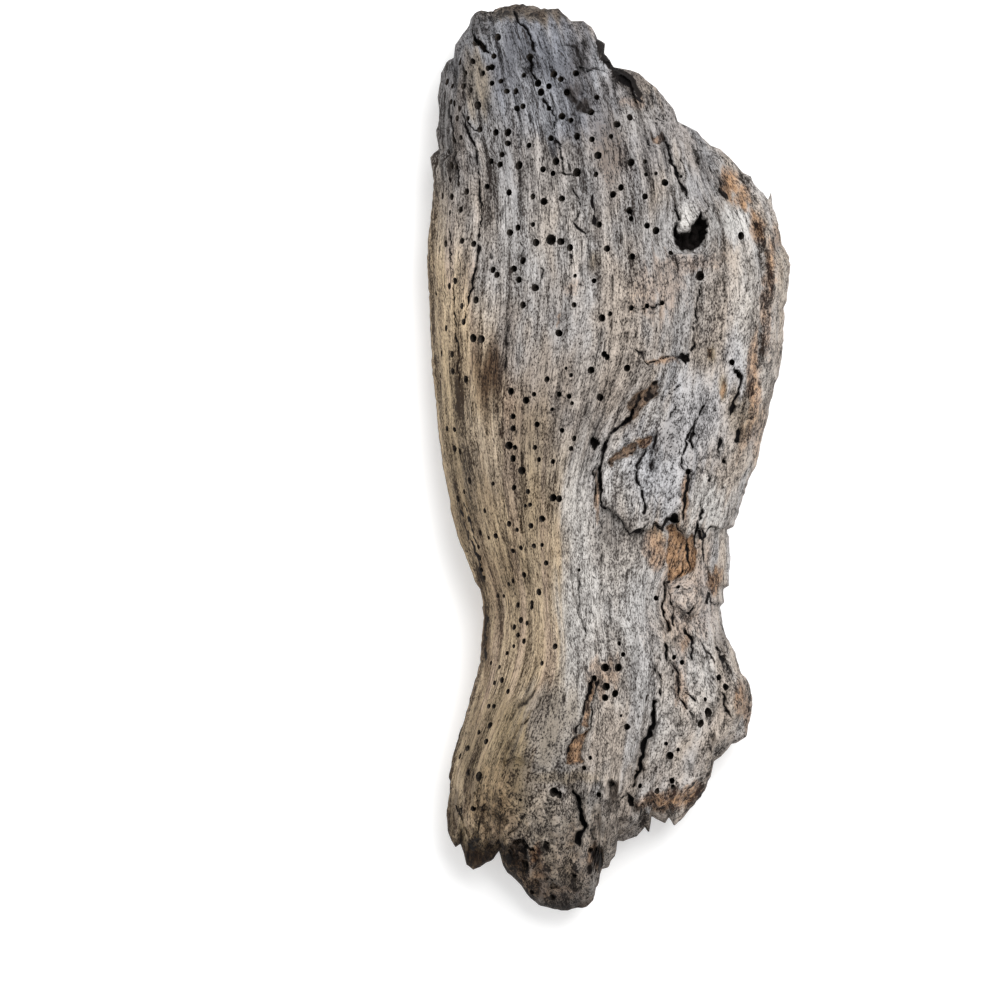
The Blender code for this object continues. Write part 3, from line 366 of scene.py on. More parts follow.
# Bores left by insects: (across, down, radius) marks.
BORES = rows_of("""
461 62 4, 473 62 3, 494 57 3, 488 69 3, 492 68 3.4, 483 74 3, 466 74 3, 464 87 3, 471 91 3,
492 84 3, 501 82 3, 507 92 3, 516 92 3.6, 524 76 3.2, 530 58 4, 498 38 4, 478 44 4, 478 106 4.2,
447 82 3.2, 452 86 2.6, 451 102 2.6, 455 104 3, 460 109 3, 448 107 2.6, 458 119 3, 468 119 2.6,
480 130 3.2, 496 133 3.8, 508 133 4.6, 508 144 3.4, 502 155 3.2, 491 162 3.4, 500 165 3.4,
519 166 5.2, 529 146 3.4, 517 109 3.6, 523 107 3.4, 538 84 4.4, 541 93 4.4, 554 75 4.2, 549 87 3.6,
561 80 3.4, 576 74 3.8, 567 93 4, 562 117 4, 571 121 3.2, 591 113 4, 597 98 3.4, 577 137 4.2,
592 140 3.4, 611 137 3, 617 125 4, 598 156 4.4, 556 162 4.6, 543 170 3.6, 553 174 3.2, 577 173 5,
596 175 3.4, 452 166 3.4, 457 167 2.8, 487 187 3, 509 193 3.8, 533 197 3.6, 443 196 3, 453 197 3.2,
467 192 3.2, 459 184 2.6, 451 180 2.6, 551 139 3.4, 549 109 3, 455 140 2.8, 461 138 2.4, 630 118 4,
631 163 4.8, 645 162 2.6, 646 175 2.4, 656 174 2.4, 665 183 4.2, 681 177 2, 621 188 4, 613 195 4,
645 197 3.6, 650 134 2.8, 461 210 3, 451 213 2.6, 544 202 4.2, 562 199 3.6, 518 228 3.6,
510 233 3.8, 533 225 3, 536 243 4.4, 551 240 6, 561 242 4, 570 248 4.2, 599 225 3.8, 607 249 3.8,
523 261 4.2, 514 269 3.8, 519 280 3.8, 493 270 3.6, 497 275 3.6, 535 288 4.2, 523 305 4.2,
574 305 3.2, 594 281 3, 476 300 3.8, 462 306 3, 464 322 3, 446 328 3, 455 281 3.2, 450 286 3,
436 292 2.8, 473 338 4.2, 482 339 4, 474 244 3.2, 462 241 3, 447 244 3, 436 235 3, 432 241 2.6,
559 333 4, 602 318 4.2, 610 314 3, 604 354 3.6, 607 357 3.6, 591 370 4.2, 452 354 3.2, 442 353 2.8,
453 371 3, 466 379 3.6, 440 375 2.6, 571 375 2.6, 566 368 2, 547 379 3.6, 575 276 2.4, 629 211 4,
631 219 3, 647 226 3.6, 656 231 4.4, 632 257 4, 671 253 3, 700 276 5.6, 741 236 4.6, 631 308 3.4,
647 306 2.8, 662 303 2.8, 627 368 4, 732 362 3.6, 739 375 3.4, 511 391 4.2, 526 400 4.2,
534 394 2.8, 559 394 3.2, 569 396 3, 572 403 2.4, 552 409 2.4, 600 397 4.2, 513 416 3.4,
513 428 3.6, 537 424 3.4, 562 430 3, 574 438 3.4, 571 448 3, 509 445 4.6, 515 447 3, 513 458 4.2,
454 448 3.2, 459 451 3.2, 447 428 2.6, 453 429 2.4, 535 447 3, 539 459 3, 553 461 3, 522 470 4.6,
470 480 3.4, 514 487 3.6, 493 483 2.4, 464 491 2.6, 458 498 3, 553 497 4.4, 559 498 4, 528 491 3,
530 504 2.6, 525 505 2.4, 542 518 3.8, 509 523 3.6, 531 525 3.2, 517 529 2.6, 480 532 3, 496 535 3,
489 537 2.2, 534 545 3, 542 544 2.6, 521 547 3, 513 550 2.8, 479 546 2.6, 481 557 2.6, 485 510 2.6,
546 562 3, 524 574 3.6, 513 580 3, 509 583 2.4, 481 569 2.6, 484 577 2.6, 498 595 2.4, 504 595 2.2,
539 591 4, 532 602 3.4, 532 606 3.2, 518 604 3.4, 521 619 3.6, 527 622 3, 514 626 3.4, 518 634 3,
524 640 3.2, 507 652 2.6, 514 645 2.4, 491 662 2.6, 500 666 2.4, 542 662 2.8, 555 645 3.6,
502 679 3.6, 508 690 3.2, 495 682 2.4, 489 705 2.6, 494 705 2.6, 490 724 3.6, 479 731 2.6,
486 740 3.2, 468 747 3, 461 755 3, 468 771 3.2, 479 775 5, 456 807 3, 464 809 3, 473 807 2.8,
554 790 5.4, 559 793 4.6, 546 841 3, 546 847 3, 520 798 1.8, 579 569 2, 605 666 4.6, 618 666 4.8,
594 677 4, 606 685 4.6, 605 696 4, 615 692 4.4, 627 725 3.8, 590 756 2.6, 599 793 3, 584 766 2.6,
656 597 3, 678 586 2.6, 619 642 2.6, 623 653 2.8, 621 714 1.8, 674 656 3, 682 661 3, 719 676 3.6,
726 685 4, 701 722 5, 708 711 5.6, 688 471 3.6, 705 698 2.6, 670 754 4.6, 672 779 3.4, 673 785 3,
640 784 3, 666 742 2.4, 678 748 2.4, 657 789 3, 526 863 3.6, 521 857 3, 553 877 4, 553 895 4,
587 901 3.4, 532 891 3.6, 574 875 3""")
# Bores of the underside: (across, down, radius) marks.
UNDER_BORES = rows_of("""
520 150 4.5, 610 210 4.5, 500 260 4, 660 300 5, 480 380 4, 690 420 4.5, 520 560 4, 660 600 4.5,
540 720 4.5, 640 760 4.5, 470 300 4.5, 486 180 4, 645 190 4, 700 250 4.5, 715 340 4, 670 480 4.5,
500 470 4.5, 600 640 4, 500 760 4, 690 700 4.5, 530 90 3.4, 560 120 3.6, 590 160 3, 460 220 3.4,
476 236 3, 650 240 3.2, 662 252 3.6, 726 300 3, 466 420 3.2, 478 440 3.4, 700 380 3, 690 520 3.4,
506 620 3.2, 514 636 3, 684 640 3.2, 470 800 3.4, 560 830 3.6, 600 800 3, 654 720 3.2, 520 690 3""")

# Splits of the underside: marks along the line, and half width in steps.
UNDER_SPLITS = forms_of("4: 560 60, 552 160, 566 300; 5: 640 560, 630 660, 640 800")

# Tones of the wood: (across, down, half across, half down, strength).
GRITTY = rows_of("""
605 620 60 170 0.8, 665 300 40 70 0.9, 560 380 50 70 0.35, 735 310 40 90 0.6, 560 250 60 60 0.15,
640 450 60 90 0.5, 560 800 60 60 0.4""")
SLATE = rows_of("""
535 60 90 70 0.95, 560 112 62 50 0.9, 600 80 40 60 0.6, 456 55 26 40 0.6, 470 110 34 70 0.3,
575 160 90 60 0.4, 700 150 24 40 0.35, 650 130 40 40 0.3, 500 450 50 50 0.25""")
COOL = rows_of("""
655 470 44 52 0.8, 690 425 44 60 0.7, 733 222 24 24 0.7, 480 30 22 22 0.5, 660 140 34 40 0.4,
600 55 14 30 0.6, 548 730 34 44 0.6, 600 470 22 60 0.4, 575 600 14 110 0.2, 735 360 12 40 0.6,
580 830 40 40 0.3, 530 115 30 40 0.4""")
PALE = rows_of("""
580 600 22 150 0.85, 612 580 40 120 0.5, 733 220 26 24 0.9, 686 218 12 18 0.9, 745 300 12 70 0.5,
600 470 26 60 0.3, 640 120 20 16 0.3, 700 680 20 40 0.45, 555 215 50 60 0.25, 664 720 18 40 0.4,
690 600 14 20 0.5, 650 410 16 12 0.4, 700 520 8 12 0.6, 708 505 26 28 0.9, 762 372 14 30 0.4,
586 400 12 50 0.3""")
LIGHT = rows_of("""
455 290 20 80 1, 478 205 24 40 0.7, 776 300 16 80 1.2, 736 236 20 28 1.6, 694 450 56 70 0.9,
700 715 34 40 1.4, 615 745 40 44 1.1, 708 644 18 56 2, 720 320 36 60 0.9, 665 310 34 60 1.1,
612 66 12 16 1.6, 640 90 10 12 1, 690 168 20 40 1.9, 682 152 14 20 2.7, 488 266 22 44 2,
586 335 14 84 1.5, 750 245 10 16 1, 754 370 12 26 1.5, 694 322 14 34 1, 579 512 13 36 2.7,
640 492 16 46 1.8, 628 462 10 12 2, 707 508 24 26 2.6, 688 518 12 12 3, 640 636 16 46 1.7,
672 606 14 24 3, 654 598 14 18 2.2, 668 770 16 16 1.8, 492 245 18 30 2.2, 466 268 12 26 1.4,
690 545 40 30 1.2, 640 540 16 26 1, 750 240 12 18 1.6, 500 535 14 40 1.2, 520 715 30 34 0.9,
494 480 12 50 1.2, 708 386 34 20 3.2, 742 352 12 22 1.6, 660 240 12 20 1.6, 548 378 12 14 1.2,
606 430 10 14 1.3, 620 712 26 20 2.4, 656 576 12 14 1.8, 718 684 12 14 1.6, 660 735 16 24 1,
690 742 16 20 3, 656 782 10 10 1.4, 606 826 14 16 2, 444 215 12 18 1, 690 660 12 20 0.9""")
SHADE = rows_of("""
438 160 18 90 2, 500 136 16 46 1.9, 612 140 18 46 2.6, 478 24 22 18 1.4, 505 50 16 18 1.1,
554 70 20 20 1.8, 556 285 14 32 1.4, 636 268 14 16 1.5, 664 378 14 18 0.9, 611 327 11 14 1.1,
781 242 10 18 1.8, 528 450 18 130 1.5, 468 440 12 64 1.4, 550 494 14 18 2.3, 610 540 16 44 2.4,
500 625 12 54 1, 723 640 10 22 2.2, 470 735 12 62 2, 552 725 22 40 1.9, 526 776 24 34 3,
564 770 26 20 1.8, 749 705 10 32 2.2, 447 806 14 34 4.5, 696 803 12 12 2.8, 480 860 30 24 3.4,
548 862 58 60 1.9, 540 905 60 16 3.4, 470 776 14 22 2.4, 606 840 16 40 1.4, 640 826 26 18 1.3,
640 778 14 12 1.1, 668 434 16 24 1.6, 640 92 18 20 1.6, 610 112 16 34 1.9, 724 170 12 14 1.4,
528 215 12 20 1.2, 712 330 12 34 1.5, 500 345 12 40 0.8, 464 408 14 30 2.2, 578 660 12 20 1.1,
444 806 16 16 5.5, 514 888 26 14 3.4, 556 908 40 8 4.5, 724 648 8 26 3, 500 800 14 14 1.2,
724 746 14 12 2.4, 478 130 14 20 1, 780 244 8 18 2.6""")
BROWN = rows_of("""
675 552 9 26 0.9, 692 552 4 20 1, 654 546 14 22 0.75, 713 578 8 12 0.9, 655 801 17 10 0.7,
634 104 14 8 0.4, 729 181 11 15 0.95, 744 198 11 14 0.9, 758 228 9 20 0.9, 779 238 8 16 0.4,
684 594 34 80 0.35, 672 800 32 11 0.9, 746 706 10 26 0.6, 578 850 34 40 0.25, 480 862 22 18 0.3,
496 806 34 60 0.26, 770 264 6 34 0.75, 766 320 6 44 0.5, 753 376 7 44 0.75, 752 430 16 36 0.4,
690 262 40 12 0.35, 662 285 34 34 0.35, 606 676 20 20 0.5, 684 496 4 26 0.8, 597 490 3 26 0.7,
680 684 8 24 0.5, 664 360 16 4 0.7, 686 641 5 10 0.6, 534 853 8 10 1, 570 288 12 10 0.3,
500 575 22 40 0.25, 470 270 16 40 0.25, 655 632 20 20 0.2, 694 794 22 12 0.8, 524 870 24 30 0.4,
540 872 10 14 0.6, 594 856 8 12 0.6, 610 150 16 40 0.25, 550 892 34 14 0.35, 645 440 8 4 0.8,
577 744 7 18 0.8""")
OLIVE = rows_of("""
500 790 34 50 0.8, 486 740 26 60 0.55, 518 735 24 48 0.85, 548 725 30 44 0.5, 560 850 60 60 0.4,
500 570 24 60 0.45, 530 480 30 80 0.3, 594 262 8 10 0.5, 560 775 40 8 0.6, 478 84 16 40 0.5,
711 353 5 9 0.7, 723 388 5 12 0.7, 745 415 16 20 0.4, 475 850 26 24 0.7, 520 880 30 34 0.6,
455 520 20 90 0.5, 445 420 14 90 0.4, 786 300 8 80 0.3, 520 10 60 12 0.5, 640 440 8 4 0.3,
656 532 8 8 0.5, 470 500 30 50 0.3""")
# Dark spots: partly soot, partly painted shade in low places such as the root end's lobes and the
# broken ends' rims.
SOOT_AND_SHADE = rows_of("""
490 372 20 40 0.9, 560 400 60 60 0.3, 573 94 10 12 0.8, 584 108 10 8 0.8, 723 184 5 9 0.7,
486 640 5 50 0.7, 464 524 6 30 0.5, 482 575 5 22 0.7, 556 888 40 22 0.5, 548 870 20 20 0.3,
514 858 13 22 1, 476 856 30 18 1, 498 826 22 30 0.5, 530 892 26 16 0.75, 480 868 20 5 0.9,
520 892 14 6 0.8, 540 8 80 12 0.8, 545 14 30 8 0.6, 478 22 14 18 0.5, 568 900 26 10 0.5,
601 48 6 12 1, 628 80 18 12 0.5, 508 340 8 44 0.45, 578 58 12 30 0.6, 622 826 20 20 0.3,
588 265 9 11 0.4, 515 60 30 30 0.2, 596 226 6 26 0.4, 450 130 12 50 0.35, 474 500 28 50 0.4,
558 320 14 16 0.3, 665 305 34 44 0.2, 660 135 34 40 0.2, 620 530 20 20 0.3, 594 856 8 14 0.6""")
TAN_RIDGE = rows_of("""
5 400, 160 408, 230 440, 280 464, 340 486, 420 536, 500 562, 600 566, 680 562, 740 546, 800 516,
905 480""")


def along(marks, at):
    """Straight-line reading of (position, value) marks."""
    table = np.array(marks)
    return np.interp(at, table[:, 0], table[:, 1])


def smooth_step(value):
    """Soft ramp 3v^2 - 2v^3 from 0 to 1."""
    held = np.clip(value, 0.0, 1.0)
    return held * held * (3.0 - 2.0 * held)


def turns(part):
    """Catmull-Rom weights of four neighbours at a part of a step."""
    return (
        -0.5 * part + part ** 2 - 0.5 * part ** 3,
        1.0 - 2.5 * part ** 2 + 1.5 * part ** 3,
        0.5 * part + 2.0 * part ** 2 - 1.5 * part ** 3,
        -0.5 * part ** 2 + 0.5 * part ** 3,
    )


def curve(values, place):
    """Catmull-Rom curve through a row of numbers or of whole curves."""
    last = len(values) - 1
    held = np.clip(place, 0.0, last - 1e-6)
    start = np.floor(held).astype(int)
    total = np.zeros(held.shape)
    for i, weight in enumerate(turns(held - start)):
        at = np.clip(start + i - 1, 0, last)
        total = total + weight * np.choose(at, values)
    return total


def level_table(table, across, down):
    """Catmull-Rom surface through a table: down its columns, then across.

    The place across is the part of the width between the broad edges.
    """
    left = along(BROAD_LEFT, down)
    right = along(BROAD_RIGHT, down)
    place = np.clip((across - left) / (right - left), 0.0, 1.0)
    columns = [curve(list(values), (down - 5.0) / 100.0) for values in np.array(table).T]
    return curve(columns, place * (len(columns) - 1))


def fibre_place(across, down):
    """Place across the grain, in steps, of any point of the sheet.

    It runs evenly from fibre to fibre, and is held back towards the middle
    of each knot by a bell curve.
    """
    lines = [curve(list(line), down / 60.0) for line in np.array(FIBRES).T]
    place = np.zeros(across.shape)
    for k in range(len(lines) - 1):
        width = lines[k + 1] - lines[k]
        part = (across - lines[k]) / width
        if k > 0:
            part = np.maximum(part, 0.0)
        if k < len(lines) - 2:
            part = np.minimum(part, 1.0)
        place = place + part * (FIBRE_PLACES[k + 1] - FIBRE_PLACES[k])
    for x, y, reach in KNOTS:
        far = np.hypot(across - x, down - y) / reach
        place = place - (across - x) * np.exp(-far * far)
    return place


def root_cover(down):
    """0 above the broken root end, 1 within it."""
    return smooth_step((down - ROOT_FROM) / 40.0)


def lattice(i, j, seed):
    """Fixed value between 0 and 1: the fraction of a large, fast sine."""
    wave = np.sin(i * 127.1 + j * 311.7 + seed * 74.7) * 43758.5453
    return wave - np.floor(wave)


def noise(x, y, seed):
    """Value noise between -1 and 1, smooth between lattice points."""
    i = np.floor(x)
    j = np.floor(y)
    a = smooth_step(x - i)
    b = smooth_step(y - j)
    low = lattice(i, j, seed) * (1 - a) + lattice(i + 1, j, seed) * a
    high = lattice(i, j + 1, seed) * (1 - a) + lattice(i + 1, j + 1, seed) * a
    return 2.0 * (low * (1 - b) + high * b) - 1.0


def with_noise(start, x, y, *rows):
    """Start plus height * noise(x / width, y / length) for each row."""
    for height, width, length, seed in rows:
        start = start + height * noise(x / width, y / length, seed)
    return start


def line_reach(across, down, marks):
    """Distance to a line through the marks, and the place along it, 0 to 1.

    On each stretch from a to b the nearest place is a + t (b - a) with
    t = (p - a) . (b - a) / |b - a|^2, held between 0 and 1.
    """
    corners = np.array(marks)
    lengths = np.hypot(*np.diff(corners, axis=0).T)
    starts = np.concatenate([[0.0], np.cumsum(lengths)])
    nearest = np.full(across.shape, 1e9)
    place = np.zeros(across.shape)
    for k, length in enumerate(lengths):
        ax, ay = corners[k]
        dx, dy = (corners[k + 1] - corners[k]) / length
        part = np.clip((across - ax) * dx + (down - ay) * dy, 0.0, length)
        gap = np.hypot(across - ax - part * dx, down - ay - part * dy)
        place = np.where(gap < nearest, starts[k] + part, place)
        nearest = np.minimum(nearest, gap)
    return nearest, place / starts[-1]


def inside_depth(across, down, marks):
    """Distance in steps to a closed outline, positive inside it."""
    ring = marks + [marks[0]]
    edge = line_reach(across, down, ring)[0]
    inside = np.zeros(across.shape, bool)
    for (ax, ay), (bx, by) in zip(ring[:-1], ring[1:]):
        if ay == by:
            continue
        crosses = (ay > down) != (by > down)
        at = ax + (down - ay) * (bx - ax) / (by - ay)
        inside ^= crosses & (across < at)
    return np.where(inside, edge, -edge)


def spots(across, down, shift, marks):
    """Soft ovals: the strongest of strength * ramp(1 - 0.62 r^2).

    Their places are moved by the shift, less so for the small ones.
    """
    cover = np.zeros(across.shape)
    for x, y, half_x, half_y, strength in marks:
        part_x = (across + shift[0] * min(1.0, half_x / 25.0) - x) / half_x
        part_y = (down + shift[1] * min(1.0, half_y / 45.0) - y) / half_y
        reach = part_x ** 2 + part_y ** 2
        cover = np.maximum(cover, strength * smooth_step(1.0 - 0.62 * reach))
    return cover


def spread(count, crowding):
    """Positions from 0 to 1, crowded towards both ends."""
    even = np.linspace(0.0, 1.0, count + 1)
    crowded = 0.5 - 0.5 * np.cos(np.pi * even)
    return (1.0 - crowding) * even + crowding * crowded


def end_profile(marks, psi):
    """Down mark of a broken end, read straight between its marks."""
    table = np.array(marks)
    left = along(LEFT_EDGE, table[:, 1])
    right = along(RIGHT_EDGE, table[:, 1])
    at = (table[:, 0] - left) / (right - left)
    return np.interp(psi, np.maximum.accumulate(at), table[:, 1])


def wandering(across, down):
    """Marks moved by up to three steps so that drawn edges look torn."""
    return (with_noise(across, across, down, (1.7, 8.0, 8.0, 11), (1.2, 3.1, 3.1, 13)),
            with_noise(down, across, down, (1.7, 8.0, 8.0, 12), (1.2, 3.1, 3.1, 14)))


def fibre_ridges(place, down):
    """Long ridges that follow the fibres, in millimetres."""
    return with_noise(0.0, place, down, (0.60, 34.0, 260.0, 3),
                      (0.42, 15.0, 170.0, 4), (0.26, 7.5, 90.0, 5))


def fine_ridges(place, down):
    """Narrow ridges and short slits between the fibres, millimetres."""
    ridge = with_noise(0.0, place, down, (0.16, 3.6, 40.0, 31), (0.12, 2.0, 20.0, 32))
    slit = noise(place / 3.2, down / 24.0, 33)
    return ridge - 0.8 * smooth_step((slit - 0.70) / 0.25)


def rough_cover(across, down):
    """1 where the wood is flaky: right side, lower right and root end."""
    right = smooth_step((across - 640) / 40.0) * smooth_step((down - 350) / 60)
    rim = smooth_step((across - along(RIGHT_EDGE, down) + 34.0) / 14.0)
    root = smooth_step((down - 765) / 40.0)
    top = smooth_step((30.0 - down) / 14.0)
    return np.maximum(np.maximum(right, root), np.maximum(rim, top))


def flakes(across, down, place):
    """Height in steps of torn layers, painted shade at the foot of each, tone of each.

    A slow noise is cut into treads: whole part plus a steep ramp over the
    last fifth of each step.
    """
    slow = noise(place / 24.0, down / 52.0, 41)
    slow = with_noise(slow, across, down, (0.50, 11.0, 15.0, 42), (0.26, 4.2, 5.4, 43))
    slow = 2.0 * (slow + 1.8)
    base = np.floor(slow)
    part = slow - base
    height = base + 0.2 * part + 0.8 * smooth_step((part - 0.82) / 0.18)
    foot_shade = 1.0 - smooth_step(np.abs(part - 0.80) / 0.09)
    gate = smooth_step(1.5 * noise(across / 16.0, down / 22.0, 44) + 0.1)
    tone = lattice(base, 7.0, 91) - 0.5
    return height - 3.6, foot_shade * gate, tone


def cuts(across, down):
    """Depth in millimetres, painted shade, brownness and splits of the cuts.

    A split is the half width of a painted shadow line less the distance to it.
    """
    depth_cut = np.zeros(across.shape)
    split = np.full(across.shape, -2.0)
    recess_shade = np.zeros(across.shape)
    brown = np.zeros(across.shape)
    swell = 0.85 + 0.75 * noise(across / 6.0, down / 6.0, 61)
    for marks, half, depth, shade_strength in GROOVES:
        gap, part = line_reach(across, down, marks)
        taper = smooth_step(7.0 * np.minimum(part, 1.0 - part) + 0.35)
        near = gap / (half * swell * taper + 0.25)
        held = np.minimum(1.0, 0.35 + 0.65 * swell) * taper
        depth_cut = depth_cut + depth * held * (1.0 - smooth_step(near * 0.7))
        # A crack with strong painted shade also gets a painted shadow line along it.
        if shade_strength > 0.75:
            line = (half * swell * 0.74 + 0.18) * taper - gap
            split = np.maximum(split, line)
        dark = shade_strength * held * (1.0 - smooth_step(near * 1.4 - 0.5))
        recess_shade = np.maximum(recess_shade, dark * (1.0 if shade_strength < 0.75 else 0.5))
    crumbs = noise(across / 3.4, down / 4.4, 62)
    for marks, depth, brownness, shade_strength in HOLLOWS:
        inside = inside_depth(across, down, marks)
        floor = depth * (1.0 + 0.3 * crumbs)
        depth_cut = depth_cut + floor * smooth_step((inside + 0.8) / 2.2)
        here = smooth_step((inside + 0.6) / 1.4)
        dark = shade_strength + (1.0 - shade_strength) * smooth_step(crumbs * 2.0 - 0.6)
        brown = np.maximum(brown, brownness * here)
        recess_shade = np.maximum(recess_shade, here * np.minimum(shade_strength * dark * 1.6, 1))
    for x, y, half_x, half_y, depth, shade_strength in PITS:
        reach = np.hypot((across - x) / half_x, (down - y) / half_y)
        here = 1.0 - smooth_step((reach - 0.45) / 0.9)
        depth_cut = depth_cut + depth * here
        recess_shade = np.maximum(recess_shade, shade_strength * here * (0.8 + 0.5 * crumbs))
    return depth_cut, np.clip(recess_shade, 0.0, 1.0), brown, split


def front_relief(across, down):
    """Cracks, ledges, plate, knobs and pit of the front, millimetres."""
    moved_x, moved_y = wandering(across, down)
    place = fibre_place(across, down)
    rough = rough_cover(across, down)
    relief = fibre_ridges(place, down)
    relief = relief + (1.0 - 0.6 * rough) * fine_ridges(place, down)
    root = root_cover(down)
    relief = with_noise(relief, across, down, (0.10, 2.4, 3.0, 9), (0.5 * rough, 9.0, 12.0, 6),
                        (0.30 * rough, 3.6, 4.4, 7), (0.8 * root, 6.0, 7.0, 17))
    layers = 0.62 + 0.35 * root
    relief = relief + rough * layers * flakes(moved_x, moved_y, place)[0]
    plate = inside_depth(moved_x, moved_y, PLATE)
    rise = PLATE_RISE * smooth_step((down - 385.0) / 110.0)
    relief = relief + rise * smooth_step((plate + 0.7) / 1.4)
    for marks, drop in LEDGES:
        depth = inside_depth(moved_x, moved_y, marks)
        relief = relief - drop * smooth_step((depth + 1.0) / 2.0)
    for x, y, half_x, half_y, height in KNOBS:
        reach = ((across - x) / half_x) ** 2 + ((down - y) / half_y) ** 2
        relief = relief + height * smooth_step(1.25 - reach)
    return relief - cuts(moved_x, moved_y)[0]


def back_relief(across, down):
    """Ridges, hollows and splits of the underside, millimetres."""
    place = fibre_place(across, down) + 500.0
    relief = 1.3 * fibre_ridges(place, down) + 0.7 * fine_ridges(place, down)
    relief = with_noise(relief, across, down, (0.9, 60.0, 90.0, 8))
    for marks, half in UNDER_SPLITS:
        split = line_reach(across, down, marks)[0]
        relief = relief + 3.0 * (1.0 - smooth_step(split / half))
    return relief


def rounded(distance, reach, power):
    """Factor sqrt(1 - (1 - d/r)^p), from 0 at an edge to 1 at its reach."""
    part = np.clip(distance / reach, 0.0, 1.0)
    return np.sqrt(np.clip(1.0 - (1.0 - part) ** power, 0.0, 1.0))


def closing(gaps, reaches, powers):
    """Product of the rounded factors of the four edges."""
    factor = 1.0
    for gap, reach, power in zip(gaps, reaches, powers):
        factor = factor * rounded(gap, reach, power)
    return factor


def surfaces(across, down, left, right, top, root):
    """Front and back levels in millimetres for points of the grid.

    Each is a factor times its own height, plus 1 less the factor times the
    level of the edge line.
    """
    gaps = [gap * STEP_MM for gap in (across - left, right - across, down - top, root - down)]
    reaches = (along(FLANK, down), along(RIGHT_ROUND, down), END_ROUND, END_ROUND)
    edge = closing(gaps, reaches, (along(FLANK_POWER, down), 2.0, 2.0, 2.0))
    reaches = (UNDER_ROUND, UNDER_ROUND, UNDER_END_ROUND, UNDER_END_ROUND)
    under = closing(gaps, reaches, (2.0, 2.0, 2.0, 2.0))
    front = level_table(FRONT_LEVEL, across, down) + front_relief(across, down)
    back = level_table(BACK_LEVEL, across, down) - back_relief(across, down)
    level = along(EDGE_LEVEL, down)
    front_z = edge * np.maximum(front, 5.0) + (1.0 - edge) * level
    back_z = (1.0 - under) * level - under * np.maximum(back, 3.0)
    return front_z, np.maximum(back_z, -REST_DEPTH_MM)


def layered(x, y, z, left, right, level):
    """Draw side walls and ends inward in uneven layers, millimetres.

    x = m + (x - m)(1 - a n(z, y) / half) and y = y (1 - b n(z, x) / 130),
    with no change at the edge line, the front and the flat spot.
    """
    gate = smooth_step((np.abs(z - level) - 1.2) / 4.5)
    gate = gate * (1.0 - smooth_step((z - 9.0) / 8.0))
    gate = gate * (1.0 - smooth_step((-z - 9.0) / 6.0))
    middle = (left + right) / 2.0
    half = (right - left) / 2.0
    inward = 0.5 + 0.5 * noise(z / 4.5 + 40.0, y / 34.0, 21)
    inward = inward + 0.3 * noise(z / 2.1, y / 11.0, 22)
    x = middle + (x - middle) * (1.0 - SIDE_LAYERS * gate * inward / half)
    inward = 0.5 + 0.5 * noise(z / 4.0 + 20.0, x / 6.0, 23)
    inward = inward + 0.3 * noise(z / 2.2, x / 2.7, 24)
    y = y * (1.0 - END_LAYERS * gate * np.maximum(inward, 0.0) / 130.0)
    return x, y


def grid_points():
    """Front and back grids in metres.

    Down runs evenly from top to root end on each line of equal psi, and
    across runs evenly from left to right edge, both crowded at the ends.
    """
    psi_line = spread(COLUMNS, 0.6)
    t_line = spread(ROWS, 0.45)
    top_line = end_profile(TOP_END, psi_line) + 1.1 + 1.1 * noise(psi_line * 46.0, 0.5, 71)
    root_line = end_profile(ROOT_END, psi_line) - 1.3 - 1.3 * noise(psi_line * 58.0, 0.5, 72)
    psi, top, root = (np.tile(line, (ROWS + 1, 1)) for line in (psi_line, top_line, root_line))
    down = top + t_line[:, None] * (root - top)
    left = along(LEFT_EDGE, down) - 0.8 + 0.7 * noise(down / 4.5, 0.5, 73)
    right = along(RIGHT_EDGE, down) + 1.0 - 0.9 * noise(down / 4.0, 0.5, 74)
    across = left + psi * (right - left)
    levels = surfaces(across, down, left, right, top, root)
    x, left, right = ((at - SHEET_MIDDLE[0]) * STEP_MM for at in (across, left, right))
    y = (SHEET_MIDDLE[1] - down) * STEP_MM
    level = along(EDGE_LEVEL, down)
    # A thin splinter stands off the right edge.
    pull = np.clip(1.0 - np.abs(down - 204.0) / 3.6, 0.0, 1.0)
    pull = pull * smooth_step((psi - 0.9925) / 0.006)
    grids = []
    for z in levels:
        moved_x, moved_y = layered(x, y, z, left, right, level)
        moved_y = moved_y + 12.0 * STEP_MM * pull
        grids.append(np.stack([moved_x, moved_y, z + REST_DEPTH_MM], axis=-1))
    return [grid * MILLIMETRE for grid in grids]


def quads(index):
    """The four corners of each square of a grid of vertex numbers."""
    corners = (index[:-1, :-1], index[1:, :-1], index[1:, 1:], index[:-1, 1:])
    return np.stack(corners, axis=-1).reshape(-1, 4)


def closed_shell(front, back):
    """Vertices and faces of the closed skin over two joined grids.

    The grids share their outermost vertices, and the faces of the back are
    turned round, so that all point outwards.
    """
    rows, columns = front.shape[:2]
    front_index = np.arange(rows * columns).reshape(rows, columns)
    back_index = front_index.copy()
    inner = (rows - 2) * (columns - 2)
    inner_index = rows * columns + np.arange(inner)
    back_index[1:-1, 1:-1] = inner_index.reshape(rows - 2, columns - 2)
    points = np.concatenate([front.reshape(-1, 3), back[1:-1, 1:-1].reshape(-1, 3)])
    return points, np.concatenate([quads(front_index), quads(back_index)[:, [0, 3, 2, 1]]])


